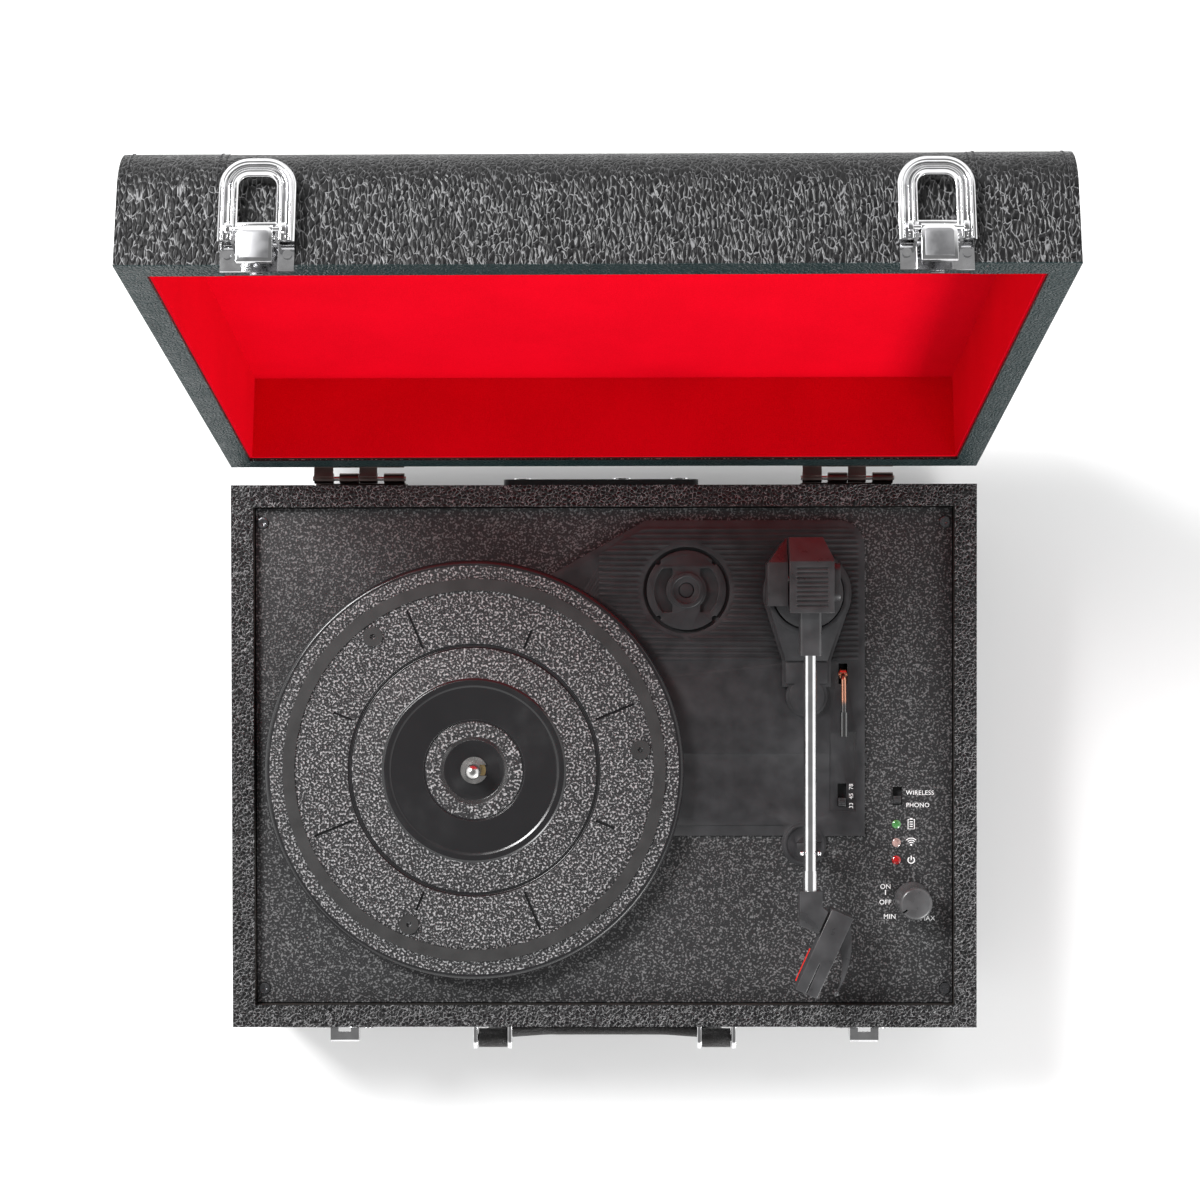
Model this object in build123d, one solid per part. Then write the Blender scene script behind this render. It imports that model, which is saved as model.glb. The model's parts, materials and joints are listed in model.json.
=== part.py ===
"""Suitcase record player: a covered wooden case with a belt-driven turntable under a hinged lid.

Millimetres. +X to the right, +Y to the hinges, +Z up. The origin is the middle of the case's
footprint, on the plane that the four feet stand on. The lid is stored standing open at its stop.
"""
import math
import os

from build123d import *

# --- case -------------------------------------------------------------------------------------
CASE_W = 355.0
CASE_D = 259.0
FOOT_H = 4.0
RIM_Z = 75.0
LID_DEPTH = 51.5
WALL = 10.5
EDGE_R = 20.0
SKIN = 0.9
SKIN_STEP = 0.2
SEAM_X = 138.0
RIM_GAP = 0.4
LINING = 1.2
LID_INNER = 41.0
PANEL = 5.0
CAVITY_R = 12.0
BOX_X = CASE_W / 2
BOX_Y = CASE_D / 2
IN_X = BOX_X - WALL
IN_Y = BOX_Y - WALL

# --- lid hinges -------------------------------------------------------------------------------
HINGE_Y = 132.8
HINGE_Z = 70.8
LID_OPEN = 104.0
HINGE_X = 116.5
KNUCKLE_R = 2.5
HINGE_PIN_R = 1.2
LEAF_T = 1.0
LEAF_H = 13.0
LID_KNUCKLES = [(-21.5, -12.4), (0.1, 8.6)]
BASE_KNUCKLES = [(-9.4, -0.3), (11.8, 21.5)]

# --- deck and mechanism plate -----------------------------------------------------------------
DECK_Z = 70.0
DECK_T = 3.0
DECK_GAP = 0.6
SCREW_X = 163.0
SCREW_Y = 111.6
PLATE_T = 2.0
PLATE_Z = DECK_Z + PLATE_T
PLATE_RIGHT = 124.6
PLATE_BACK = 112.4
PLATE_FRONT = -38.4
PLATE_CORNER_R = 13.0
RIB_PITCH = 2.57
RIB_H = 0.5
RIB_FIRST_Y = 46.4
RIB_LAST_Y = 109.5

# --- platter and drive ------------------------------------------------------------------------
SPINDLE_X = -61.4
SPINDLE_Y = -6.0
SPINDLE_R = 3.6
SPINDLE_TOP = 94.0
PLATTER_R = 99.6
PLATTER_BOTTOM = 74.4
PLATTER_TOP = 82.0
PLATTER_WEB = 2.2
SKIRT_T = 2.6
MARK_DEPTH = 0.9
BELT_RING_R = 65.0
PULLEY_R = 6.0
BELT_GAP = 0.3
BELT_T = 1.0
BELT_H = 3.6
BELT_Z = 75.4
MOTOR_REACH = 83.0
MOTOR_ANGLE = 35.0
MOTOR_X = SPINDLE_X + MOTOR_REACH * math.cos(math.radians(MOTOR_ANGLE))
MOTOR_Y = SPINDLE_Y + MOTOR_REACH * math.sin(math.radians(MOTOR_ANGLE))
RUNNING = 0.05

# --- tonearm ----------------------------------------------------------------------------------
ARM_X = 97.0
ARM_Y = 77.5
ARM_TILT_Y = 84.5
ARM_Z = 97.0
TUBE_X = 96.5
TUBE_R = 3.0
TUBE_END_Y = -62.0
HEAD_ANGLE = 24.5
HEAD_W = 10.9
HEAD_L = 41.0
HEAD_X = 102.8
HEAD_Y = -90.0
REST_X = 95.6
REST_Y = -42.2

# --- 45 rpm adapter ---------------------------------------------------------------------------
ADAPTER_X = 39.6
ADAPTER_Y = 79.1
ADAPTER_R = 19.0
RECESS_Z = 69.0

# --- controls ---------------------------------------------------------------------------------
KNOB_X = 147.4
KNOB_Y = -69.0
SWITCH_X = 140.4
SWITCH_Y = -19.4
LED_X = 139.9
LED_YS = {"led_green": -33.0, "led_amber": -41.8, "led_red": -50.2}
SPEED_X = 113.8
SPEED_Y = -18.9
CUE_X = 114.2
CUE_Y = 39.0
CUE_Z = 70.5

# --- front and rear fittings ------------------------------------------------------------------
LATCH_X = 124.3
HANDLE_X = 54.6
HANDLE_Y = -140.2
HANDLE_Z = 47.0
SPEAKER_Y = -38.0
SPEAKER_Z = 38.0
SPEAKER_R = 26.0
PANEL_X = -1.3
JACK_Z = 35.0
FOOT_X = 150.0
FOOT_Y = 92.0


def block(x0, x1, y0, y1, z0, z1):
    """Box between two corners."""
    return Pos((x0 + x1) / 2, (y0 + y1) / 2, (z0 + z1) / 2) * Box(x1 - x0, y1 - y0, z1 - z0)


def disc(x, y, z0, z1, r):
    """Upright cylinder from z0 to z1."""
    return Pos(x, y, (z0 + z1) / 2) * Cylinder(r, z1 - z0)


def ring(x, y, z0, z1, r_out, r_in):
    """Upright tube from z0 to z1."""
    return disc(x, y, z0, z1, r_out) - disc(x, y, z0 - 1, z1 + 1, r_in)


def rod_x(x0, x1, y, z, r):
    """Cylinder along X."""
    return Pos((x0 + x1) / 2, y, z) * Rot(0, 90, 0) * Cylinder(r, x1 - x0)


def rod_y(y0, y1, x, z, r):
    """Cylinder along Y."""
    return Pos(x, (y0 + y1) / 2, z) * Rot(90, 0, 0) * Cylinder(r, y1 - y0)


def dome(x, y, z, r, height):
    """Low spherical cap standing on z."""
    ball_r = (r * r + height * height) / (2 * height)
    cap = Pos(x, y, z + height - ball_r) * Sphere(ball_r)
    return cap & disc(x, y, z, z + height + 1, r + 1)


def plan(points, z0, z1):
    """Upright prism of a closed outline given in X and Y."""
    return Pos(0, 0, z0) * extrude(make_face(Polyline(*points, close=True)), z1 - z0)


def side_prism(points, x0, x1):
    """Prism along X of a closed outline given in Y and Z."""
    outline = make_face(Polyline(*[(0, y, z) for y, z in points], close=True))
    return Pos(x0, 0, 0) * extrude(outline, x1 - x0, dir=(1, 0, 0))


def both_sides(make):
    """The same fitting made at the left and at the right, as separate solids."""
    return [make(-1), make(1)]


def save(name, *solids):
    """Write one node, its separate pieces side by side."""
    pieces = [piece for solid in solids for piece in solid.solids()]
    export_step(Compound(children=pieces), f"parts/{name}.step")


def opened(solid):
    """Turn a lid piece, drawn with the lid shut, to where the lid stands open."""
    return solid.rotate(Axis((0, HINGE_Y, HINGE_Z), (1, 0, 0)), -LID_OPEN)


# --- case and cover ---------------------------------------------------------------------------
def case_bar(x0, x1, inset, z_rim, z_panel, radius):
    """Bar of the case's section; the two long edges of its closed side are rounded."""
    low, high = sorted((z_rim, z_panel))
    bar = block(x0, x1, -BOX_Y + inset, BOX_Y - inset, low, high)
    rows = bar.edges().filter_by(Axis.X).group_by(Axis.Z)
    return fillet(rows[0] if z_panel < z_rim else rows[-1], radius)


def base_cavity():
    """The room inside the base, open at the rim."""
    room = block(-IN_X, IN_X, -IN_Y, IN_Y, FOOT_H + PANEL, RIM_Z + 1)
    return fillet(room.edges().filter_by(Axis.X).group_by(Axis.Z)[0], CAVITY_R)


def speaker_bores():
    """Round openings through the two end walls."""
    return rod_x(-BOX_X - 5, BOX_X + 5, SPEAKER_Y, SPEAKER_Z, SPEAKER_R)


def rear_opening(margin):
    """Opening through the rear wall behind the connector panel."""
    half = 44.0 + margin
    return block(PANEL_X - half, PANEL_X + half, IN_Y - 1, BOX_Y + 1, 23 - margin, 47 + margin)


def base_wood():
    return case_bar(-BOX_X + SKIN, BOX_X - SKIN, SKIN, RIM_Z - SKIN, FOOT_H + SKIN, EDGE_R - SKIN)


def make_case_box():
    box = base_wood() - base_cavity() - speaker_bores() - rear_opening(0)
    for sx in (-1, 1):
        for sy in (-1, 1):
            x, y = sx * (IN_X - 8), sy * (IN_Y - 8)
            box += block(x - 8, x + 8, y - 8, y + 8, 40, DECK_Z - DECK_T)
    for sx in (-1, 1):
        for sy in (-1, 1):
            box -= disc(sx * SCREW_X, sy * SCREW_Y, 52, 68, 1.3)
            box -= disc(sx * FOOT_X, sy * FOOT_Y, 0, FOOT_H + PANEL - 1.5, 1.5)
    return box


def make_base_cover():
    """Leatherette: a long piece round front, bottom and back, and an overlapping cap at each end."""
    hollow = base_wood() + base_cavity() + speaker_bores() + rear_opening(0)
    for sx in (-1, 1):
        for sy in (-1, 1):
            hollow += disc(sx * FOOT_X, sy * FOOT_Y, 0, FOOT_H + SKIN + 1, 1.5)
    middle = case_bar(-SEAM_X, SEAM_X, SKIN_STEP, RIM_Z - SKIN_STEP, FOOT_H + SKIN_STEP, EDGE_R - SKIN_STEP)
    left = case_bar(-BOX_X, -SEAM_X, 0, RIM_Z, FOOT_H, EDGE_R)
    right = case_bar(SEAM_X, BOX_X, 0, RIM_Z, FOOT_H, EDGE_R)
    return [middle - hollow, left - hollow, right - hollow]


LID_TOP = RIM_Z + LID_DEPTH
LID_RIM = RIM_Z + RIM_GAP
LINING_Z = RIM_Z + LID_INNER


def lid_cavity():
    """The room inside the wooden lid, before it is lined."""
    return block(-IN_X, IN_X, -IN_Y, IN_Y, LID_RIM - 1, LINING_Z + LINING)


def lid_wood():
    return case_bar(-BOX_X + SKIN, BOX_X - SKIN, SKIN, LID_RIM + SKIN, LID_TOP - SKIN, EDGE_R - SKIN)


def make_lid_cover():
    hollow = lid_wood() + lid_cavity()
    middle = case_bar(-SEAM_X, SEAM_X, SKIN_STEP, LID_RIM + SKIN_STEP, LID_TOP - SKIN_STEP, EDGE_R - SKIN_STEP)
    left = case_bar(-BOX_X, -SEAM_X, 0, LID_RIM, LID_TOP, EDGE_R)
    right = case_bar(SEAM_X, BOX_X, 0, LID_RIM, LID_TOP, EDGE_R)
    return [opened(piece - hollow) for piece in (middle, left, right)]


def make_lid_lining():
    """Lining boards on the lid's four walls and its panel, starting just inside the rim."""
    outer = block(-IN_X, IN_X, -IN_Y, IN_Y, LID_RIM + 1.6, LINING_Z + LINING)
    inner = block(-IN_X + LINING, IN_X - LINING, -IN_Y + LINING, IN_Y - LINING, LID_RIM, LINING_Z)
    return opened(outer - inner)


def make_feet():
    """Rubber feet, tapered and dished for their screws."""
    feet = []
    for sx in (-1, 1):
        for sy in (-1, 1):
            x, y = sx * FOOT_X, sy * FOOT_Y
            foot = Pos(x, y, FOOT_H / 2) * Rot(180, 0, 0) * Cone(9.5, 8.5, FOOT_H)
            foot -= disc(x, y, -1, 2.2, 3.4)
            foot -= disc(x, y, 1, FOOT_H + 1, 1.5)
            feet.append(foot)
    return feet


def screw(x, y, z_seat, z_tip, shank_r, head_r, head_h):
    """Cross-head screw; the head stands on z_seat, on the side away from the tip."""
    up = 1 if z_tip < z_seat else -1
    z_top = z_seat + up * head_h
    low, high = sorted((z_seat, z_top))
    head = disc(x, y, low, high, head_r)
    shank = disc(x, y, min(z_seat, z_tip), max(z_seat, z_tip), shank_r)
    slot_low, slot_high = sorted((z_top + up, z_top - up * head_h * 0.6))
    cross = block(x - head_r * 0.6, x + head_r * 0.6, y - 0.4, y + 0.4, slot_low, slot_high)
    cross += block(x - 0.4, x + 0.4, y - head_r * 0.6, y + head_r * 0.6, slot_low, slot_high)
    return head + shank - cross


def make_case_screws():
    """Four screws through the deck into the corner blocks, and one through each foot."""
    screws = []
    for sx in (-1, 1):
        for sy in (-1, 1):
            screws.append(screw(sx * SCREW_X, sy * SCREW_Y, DECK_Z - 0.8, 54, 1.3, 2.6, 1.4))
            screws.append(screw(sx * FOOT_X, sy * FOOT_Y, 2.2, 7.5, 1.5, 3.1, 1.4))
    return screws


# --- deck -------------------------------------------------------------------------------------
def plate_outline(inset):
    """The mechanism plate's outline: its visible field and the round part under the platter."""
    right, back, front = PLATE_RIGHT - inset, PLATE_BACK - inset, PLATE_FRONT + inset
    corner = PLATE_CORNER_R - min(inset, PLATE_CORNER_R - 2)
    field = make_face(Polyline(
        (-34, 81.5 - inset * 1.15), (16 + inset * 0.4, 110 - inset), (20, back),
        (right, back), (right, front), (10, front), (SPINDLE_X, SPINDLE_Y), close=True))
    sharp = [v for v in field.vertices() if abs(v.X - right) < 0.01 and abs(v.Y - back) < 0.01]
    field = fillet(sharp, corner)
    return field + Pos(SPINDLE_X, SPINDLE_Y) * Circle(96 - inset)


def rest_lobe(r):
    """Round ear of the plate that carries the arm rest."""
    return Pos(REST_X, REST_Y) * Circle(r)


def make_deck_plate():
    deck = block(-IN_X + DECK_GAP, IN_X - DECK_GAP, -IN_Y + DECK_GAP, IN_Y - DECK_GAP, DECK_Z - DECK_T, DECK_Z)
    deck -= Pos(0, 0, DECK_Z - DECK_T - 1) * extrude(plate_outline(6.0), DECK_T + 2)
    deck -= disc(REST_X, REST_Y, DECK_Z - DECK_T - 1, DECK_Z + 1, 1.6)
    for sx in (-1, 1):
        for sy in (-1, 1):
            x, y = sx * SCREW_X, sy * SCREW_Y
            deck -= disc(x, y, DECK_Z - DECK_T - 1, DECK_Z + 1, 1.5)
            deck -= disc(x, y, DECK_Z - 0.8, DECK_Z + 1, 2.9)
    for y in LED_YS.values():
        deck -= disc(LED_X, y, DECK_Z - DECK_T - 1, DECK_Z + 1, 2.1)
    deck -= block(SWITCH_X - 2.3, SWITCH_X + 2.3, SWITCH_Y - 4.3, SWITCH_Y + 4.3, 60, 80)
    deck -= disc(KNOB_X, KNOB_Y, DECK_Z - DECK_T - 1, DECK_Z + 1, 3.6)
    return deck


def rib_sketch():
    """Straight ribs across the rear field, cut short of the platter, the recess and the arm base."""
    ribs = Sketch()
    y = RIB_FIRST_Y
    while y < RIB_LAST_Y:
        ribs += Pos(60, y) * Rectangle(124, 1.1)
        y += RIB_PITCH
    ribs = ribs & plate_outline(3.0)
    ribs -= Pos(SPINDLE_X, SPINDLE_Y) * Circle(101.5)
    ribs -= Pos(ADAPTER_X, ADAPTER_Y) * Circle(23.0)
    return ribs - arm_base_sketch(0.8)


def arm_base_sketch(margin):
    """Boat-shaped outline of the arm base: a disc that narrows to a short neck with a round end."""
    big = Pos(ARM_X, ARM_Y) * Circle(21.0 + margin)
    neck = Pos(ARM_X - 0.4, 39.5) * Rectangle(23.0 + 2 * margin, 13.0 + 2 * margin)
    end = Pos(ARM_X - 0.3, 28.6) * Circle(9.9 + margin)
    flank = make_face(Polyline(
        (ARM_X - 21 - margin, ARM_Y - 3), (ARM_X + 21 + margin, ARM_Y - 3),
        (ARM_X + 11.1 + margin, 45.5), (ARM_X - 11.9 - margin, 45.5), close=True))
    return big + neck + end + flank


def make_mechanism_plate():
    plate = Pos(0, 0, DECK_Z) * extrude(plate_outline(0) + rest_lobe(10.6), PLATE_T)
    field = plate & block(-200, 200, -60, 1.0, PLATE_Z - 0.4, PLATE_Z + 1)
    plate -= field - disc(SPINDLE_X, SPINDLE_Y, 60, 80, 97) - disc(REST_X, REST_Y, 60, 80, 10.6)
    plate -= block(30, 85.7, PLATE_FRONT - 1, -33.2, DECK_Z + 0.9, PLATE_Z + 1)
    plate += block(PLATE_RIGHT - 0.5, PLATE_RIGHT + 1.2, -3.2, 1.2, DECK_Z, PLATE_Z - 0.6)
    plate += Pos(0, 0, PLATE_Z) * extrude(rib_sketch(), RIB_H)
    # adapter recess: a cup let into the plate
    plate += disc(ADAPTER_X, ADAPTER_Y, 66.0, PLATE_Z, 22.2)
    plate -= disc(ADAPTER_X, ADAPTER_Y, RECESS_Z, PLATE_Z + 1, 20.7)
    plate += disc(ADAPTER_X, ADAPTER_Y, RECESS_Z - 0.5, RECESS_Z + 1.6, 3.3)
    # speed switch: shallow framed panel and its slot
    plate -= block(107.8, 120.4, -26.8, 11.4, PLATE_Z - 0.9, PLATE_Z + 1)
    plate -= block(SPEED_X - 2.1, SPEED_X + 2.1, SPEED_Y - 5.5, SPEED_Y + 5.5, 60, 80)
    # cue lever: slot with two bearing cheeks under it
    plate -= block(CUE_X - 2.1, CUE_X + 2.1, 34.2, 44.0, 60, 80)
    for side in (-1, 1):
        x0, x1 = sorted((CUE_X + side * 2.1, CUE_X + side * 4.2))
        cheek = block(x0, x1, CUE_Y - 3.4, CUE_Y + 3.4, 67.0, DECK_Z)
        plate += cheek
    plate -= rod_x(CUE_X - 3.8, CUE_X + 3.8, CUE_Y, CUE_Z, 1.0 + RUNNING)
    # bores for the arm's upright shaft, the pulley and the arm rest's peg
    plate -= disc(ARM_X, ARM_Y, 60, 80, 3.6)
    plate -= disc(MOTOR_X, MOTOR_Y, 60, 80, 8.0)
    plate -= disc(REST_X, REST_Y, 60, 80, 1.6)
    # spindle socket
    plate += disc(SPINDLE_X, SPINDLE_Y, 58, PLATE_Z, 8.0) + disc(SPINDLE_X, SPINDLE_Y, PLATE_Z, 73.95, 6.0)
    plate -= disc(SPINDLE_X, SPINDLE_Y, 59.5, 80, SPINDLE_R)
    for angle in (90, 210, 330):
        dx, dy = 9.0 * math.cos(math.radians(angle)), 9.0 * math.sin(math.radians(angle))
        plate -= disc(MOTOR_X + dx, MOTOR_Y + dy, 60, 80, 1.2)
    return plate


# --- platter ----------------------------------------------------------------------------------
def make_platter():
    """Spun platter: skirt, textured field, raised middle, dished hub and the belt ring below."""
    rim = PLATTER_TOP
    half = [
        (5.5, 75.2), (9.0, 75.2), (9.0, 79.8), (BELT_RING_R - 2.5, 79.8), (BELT_RING_R - 2.5, 75.0),
        (BELT_RING_R, 75.0), (BELT_RING_R, 79.8), (PLATTER_R - SKIRT_T, 79.8),
        (PLATTER_R - SKIRT_T, PLATTER_BOTTOM), (PLATTER_R, PLATTER_BOTTOM), (PLATTER_R, rim - 1.4),
        (PLATTER_R - 1.2, rim - 0.2), (PLATTER_R - 2.6, rim), (60.0, rim), (59.6, rim - MARK_DEPTH),
        (58.4, rim - MARK_DEPTH), (58.0, rim), (43.6, rim), (42.6, rim + 0.8), (40.6, rim + 0.8), (39.4, rim + 0.2),
        (24.0, rim + 0.2), (23.4, rim - 0.4), (23.0, rim + 0.2), (16.0, rim + 0.2), (14.6, rim - 1.2),
        (12.0, rim - 1.6), (5.5, rim - 1.6),
    ]
    section = make_face(Polyline(*[(r, 0, z) for r, z in half], close=True))
    platter = revolve(section, Axis.Z)
    for index in range(8):
        long_tick = index % 2 == 0
        r0, r1 = (62.5, 82.0) if long_tick else (62.5, 72.0)
        tick = block(r0, r1, -0.6, 0.6, rim - MARK_DEPTH, rim + 1)
        platter -= tick.rotate(Axis.Z, 22.5 + 45 * index)
    return Pos(SPINDLE_X, SPINDLE_Y, 0) * platter


def make_platter_bush():
    low = ring(0, 0, 74.0, 80.4, 5.5, SPINDLE_R + RUNNING)
    return Pos(SPINDLE_X, SPINDLE_Y, 0) * low


def make_platter_rubber():
    """Raised support ring and three round pads on the platter's field."""
    parts = [ring(SPINDLE_X, SPINDLE_Y, PLATTER_TOP, PLATTER_TOP + 0.7, 90.8, 85.2)]
    for angle in (7, 127, 247):
        x = SPINDLE_X + 79.4 * math.cos(math.radians(angle))
        y = SPINDLE_Y + 79.4 * math.sin(math.radians(angle))
        parts.append(ring(x, y, PLATTER_TOP, PLATTER_TOP + 0.9, 4.6, 1.3))
    return parts


def make_spindle():
    shaft = disc(SPINDLE_X, SPINDLE_Y, 59.5, SPINDLE_TOP - 3.0, SPINDLE_R)
    shaft += Pos(SPINDLE_X, SPINDLE_Y, SPINDLE_TOP - 3.0) * scale(Sphere(SPINDLE_R), by=(1, 1, 3.0 / SPINDLE_R))
    return shaft - ring(SPINDLE_X, SPINDLE_Y, 81.0, 81.8, SPINDLE_R + 1, 2.9)


def make_spindle_clip():
    """Retaining clip in the spindle's groove, open at one side."""
    clip = ring(SPINDLE_X, SPINDLE_Y, 81.0, 81.8, 6.4, 2.9)
    return clip - block(SPINDLE_X, SPINDLE_X + 8, SPINDLE_Y - 2.6, SPINDLE_Y + 2.6, 80, 83)


def belt_sketch(offset_r):
    """Outline round the platter's ring and the pulley, a set distance outside them."""
    r1, r2 = BELT_RING_R + offset_r, PULLEY_R + offset_r
    lean = math.acos((r1 - r2) / MOTOR_REACH)
    corners = []
    for sign in (1, -1):
        c, s = math.cos(sign * lean), math.sin(sign * lean)
        corners.append(((r1 * c, r1 * s), (MOTOR_REACH + r2 * c, r2 * s)))
    (a1, a2), (b1, b2) = corners
    web = make_face(Polyline(a1, a2, (MOTOR_REACH, 0), b2, b1, (0, 0), close=True))
    return web + Circle(r1) + Pos(MOTOR_REACH, 0) * Circle(r2)


def make_drive_belt():
    belt = extrude(belt_sketch(BELT_GAP + BELT_T), BELT_H) - extrude(belt_sketch(BELT_GAP), BELT_H)
    return Pos(SPINDLE_X, SPINDLE_Y, BELT_Z) * Rot(0, 0, MOTOR_ANGLE) * belt


def make_motor():
    """Motor can hung under the plate on three screws."""
    can = disc(MOTOR_X, MOTOR_Y, 46, 68, 13.5)
    can = fillet(can.edges().filter_by(GeomType.CIRCLE).group_by(Axis.Z)[0], 1.5)
    can -= disc(MOTOR_X, MOTOR_Y, 55, 69, 1.0 + RUNNING)
    parts = [can]
    for angle in (90, 210, 330):
        dx, dy = 9.0 * math.cos(math.radians(angle)), 9.0 * math.sin(math.radians(angle))
        parts.append(ring(MOTOR_X + dx, MOTOR_Y + dy, 68, DECK_Z, 2.6, 1.2))
    return parts


def make_motor_pulley():
    """Crowned pulley with flanges, on the motor's shaft."""
    half = [(0, 56), (1.0, 56), (1.0, 73.6), (7.2, 73.6), (7.2, 74.6), (PULLEY_R, 75.0), (PULLEY_R, 79.2),
            (7.0, 79.5), (0, 79.5)]
    section = make_face(Polyline(*[(r, 0, z) for r, z in half], close=True))
    return Pos(MOTOR_X, MOTOR_Y, 0) * revolve(section, Axis.Z)


# --- tonearm ----------------------------------------------------------------------------------
def make_tonearm_pedestal():
    foot = Pos(0, 0, PLATE_Z) * extrude(arm_base_sketch(0), 3.0)
    foot += Pos(0, 0, PLATE_Z + 3.0) * extrude(arm_base_sketch(-1.6), 1.0)
    foot += ring(ARM_X, ARM_Y, PLATE_Z + 3.0, 79.0, 19.4, 17.2)
    foot += disc(ARM_X, ARM_Y, PLATE_Z, 79.0, 6.0)
    return foot - disc(ARM_X, ARM_Y, 60, 85, 3.0 + RUNNING)


def make_tonearm_yoke():
    """Turning yoke: a disc on a hollow shaft, with a broad left cheek and a thin right one."""
    yoke = disc(ARM_X, ARM_Y, 79.4, 82.6, 16.4)
    yoke += disc(ARM_X, ARM_Y, 64.5, 80.0, 3.0)
    left = plan([(76.6, 71.9), (86.0, 71.9), (86.0, 103.4), (83.0, 100.2), (76.6, 91.6)], 82.0, 100.4)
    left -= side_prism([(91.6, 101), (104, 101), (104, 90)], 70, 90)
    yoke += left
    yoke += block(82.0, 86.0, 72.0, 92.0, 79.4, 84.0)
    right = block(107.4, 110.4, 74.0, 92.0, 80.0, 101.0)
    yoke += fillet(right.edges().filter_by(Axis.X).group_by(Axis.Z)[-1], 4.0)
    yoke -= disc(ARM_X, ARM_Y, 60, 90, 1.2 + RUNNING)
    yoke -= rod_x(83.4, 111, ARM_TILT_Y, ARM_Z, 1.5)
    return yoke


def make_pivot_pins():
    return [rod_x(83.4, 89.4, ARM_TILT_Y, ARM_Z, 1.5), rod_x(104.0, 110.4, ARM_TILT_Y, ARM_Z, 1.5)]


def make_tonearm_block():
    """Arm housing: ribbed top, sloping back and the socket that the tube enters."""
    top = 107.6
    profile = [(68.8, 92.0), (68.8, top), (92.7, top), (103.9, 98.5), (103.9, 92.0)]
    housing = side_prism(profile, 86.5, 106.9)
    corner = plan([(102.2, 104.5), (107.5, 104.5), (107.5, 92.4)], 80, 120)
    housing -= corner
    housing -= block(88.5, 104.9, 89.0, 102.4, 91, 96.8)
    for index in range(9):
        y = 71.7 + index * 2.15
        housing -= block(89.7, 104.2, y, y + 1.0, top - 0.8, top + 1)
    socket = block(TUBE_X - 5.0, TUBE_X + 5.2, 48.8, 70.0, 92.4, 101.4)
    housing += fillet(socket.edges().filter_by(Axis.Y), 1.6)
    housing -= rod_y(40, 66.0, TUBE_X, ARM_Z, TUBE_R)
    housing -= rod_x(86, 89.5, ARM_TILT_Y, ARM_Z, 1.5 + RUNNING)
    housing -= rod_x(103.9, 108, ARM_TILT_Y, ARM_Z, 1.5 + RUNNING)
    return housing


def make_counterweight():
    return block(89.5, 103.9, 90.0, 101.6, 91.0, 96.8)


def make_tonearm_tube():
    tube = rod_y(TUBE_END_Y, 66.0, TUBE_X, ARM_Z, TUBE_R) - rod_y(TUBE_END_Y - 1, 67, TUBE_X, ARM_Z, 2.3)
    sleeve = rod_y(-61.0, -51.6, TUBE_X, ARM_Z, 3.35) - rod_y(-62, -50, TUBE_X, ARM_Z, TUBE_R)
    return [tube, sleeve]


def head_frame(solid):
    """Place a piece drawn along -Y at the head's place and offset angle."""
    return Pos(HEAD_X, HEAD_Y, 0) * Rot(0, 0, -HEAD_ANGLE) * solid


def head_box():
    return block(-HEAD_W / 2, HEAD_W / 2, -HEAD_L / 2, HEAD_L / 2, 90.6, 101.6)


def make_headshell():
    """Angled end piece that joins the tube to the cartridge body."""
    end = plan([(91.4, -61.0), (101.9, -61.0), (101.9, -68.2), (104.6, -70.4), (100.0, -80.6),
                (91.4, -76.8)], 91.4, 101.2)
    end -= head_frame(head_box())
    return end - rod_y(TUBE_END_Y, -60, TUBE_X, ARM_Z, TUBE_R)


def make_cartridge():
    """Long cartridge body: sloping nose, step along its top and a tongue below for the stylus."""
    body = head_box()
    body += block(-HEAD_W / 2 + 1, HEAD_W / 2 - 1, -14.0, 14.0, 88.4, 91.0)
    body -= block(-0.3, 0.3, -HEAD_L / 2 - 1, -5.0, 101.0, 102)
    body -= side_prism([(-HEAD_L / 2 - 1, 90), (-HEAD_L / 2 - 1, 95.0), (-HEAD_L / 2 + 5, 90)], -20, 20)
    return head_frame(body)


def make_stylus():
    """Wedge-shaped stylus holder under the front of the cartridge, with the cantilever and tip."""
    wedge = side_prism([(-2.0, 88.4), (-18.6, 88.4), (-18.6, 87.4), (-6.0, 86.2), (-2.0, 86.2)], -5.4, 5.4)
    wedge += side_prism([(-16.5, 87.6), (-19.6, 86.2), (-19.6, 85.8), (-15.0, 87.2)], -0.4, 0.4)
    wedge += Pos(0, -19.2, 85.55) * Cone(0.1, 0.45, 1.1)
    return head_frame(wedge)


def make_finger_lift():
    """Curved finger lift at the head's right, ending in a small ball."""
    root = (HEAD_W / 2, 17.5)
    bow = ThreePointArc(root, (12.6, 2.0), (16.0 - 2.6, -15.0))
    inner = ThreePointArc((16.0 - 2.6, -15.0), (9.0, 0.5), (HEAD_W / 2, 5.0))
    back = Line((HEAD_W / 2, 5.0), root)
    blade = Pos(0, 0, 95.6) * extrude(make_face(bow + inner + back), 1.4)
    blade += Pos(13.4, -15.0, 96.3) * Sphere(1.3)
    return head_frame(blade)


def make_arm_rest_post():
    """Round foot with a raised lip, a stem and a cradle just under the tube."""
    post = disc(REST_X, REST_Y, PLATE_Z, PLATE_Z + 1.4, 9.6)
    post -= disc(REST_X, REST_Y, PLATE_Z + 0.7, 80, 8.4)
    post += disc(REST_X, REST_Y, PLATE_Z, 88.0, 3.4)
    post += block(REST_X - 5.0, REST_X + 6.6, REST_Y - 3.0, REST_Y + 3.0, 88.0, 93.4)
    post += disc(REST_X, REST_Y, DECK_Z - DECK_T, PLATE_Z, 1.6)
    return post


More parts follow.
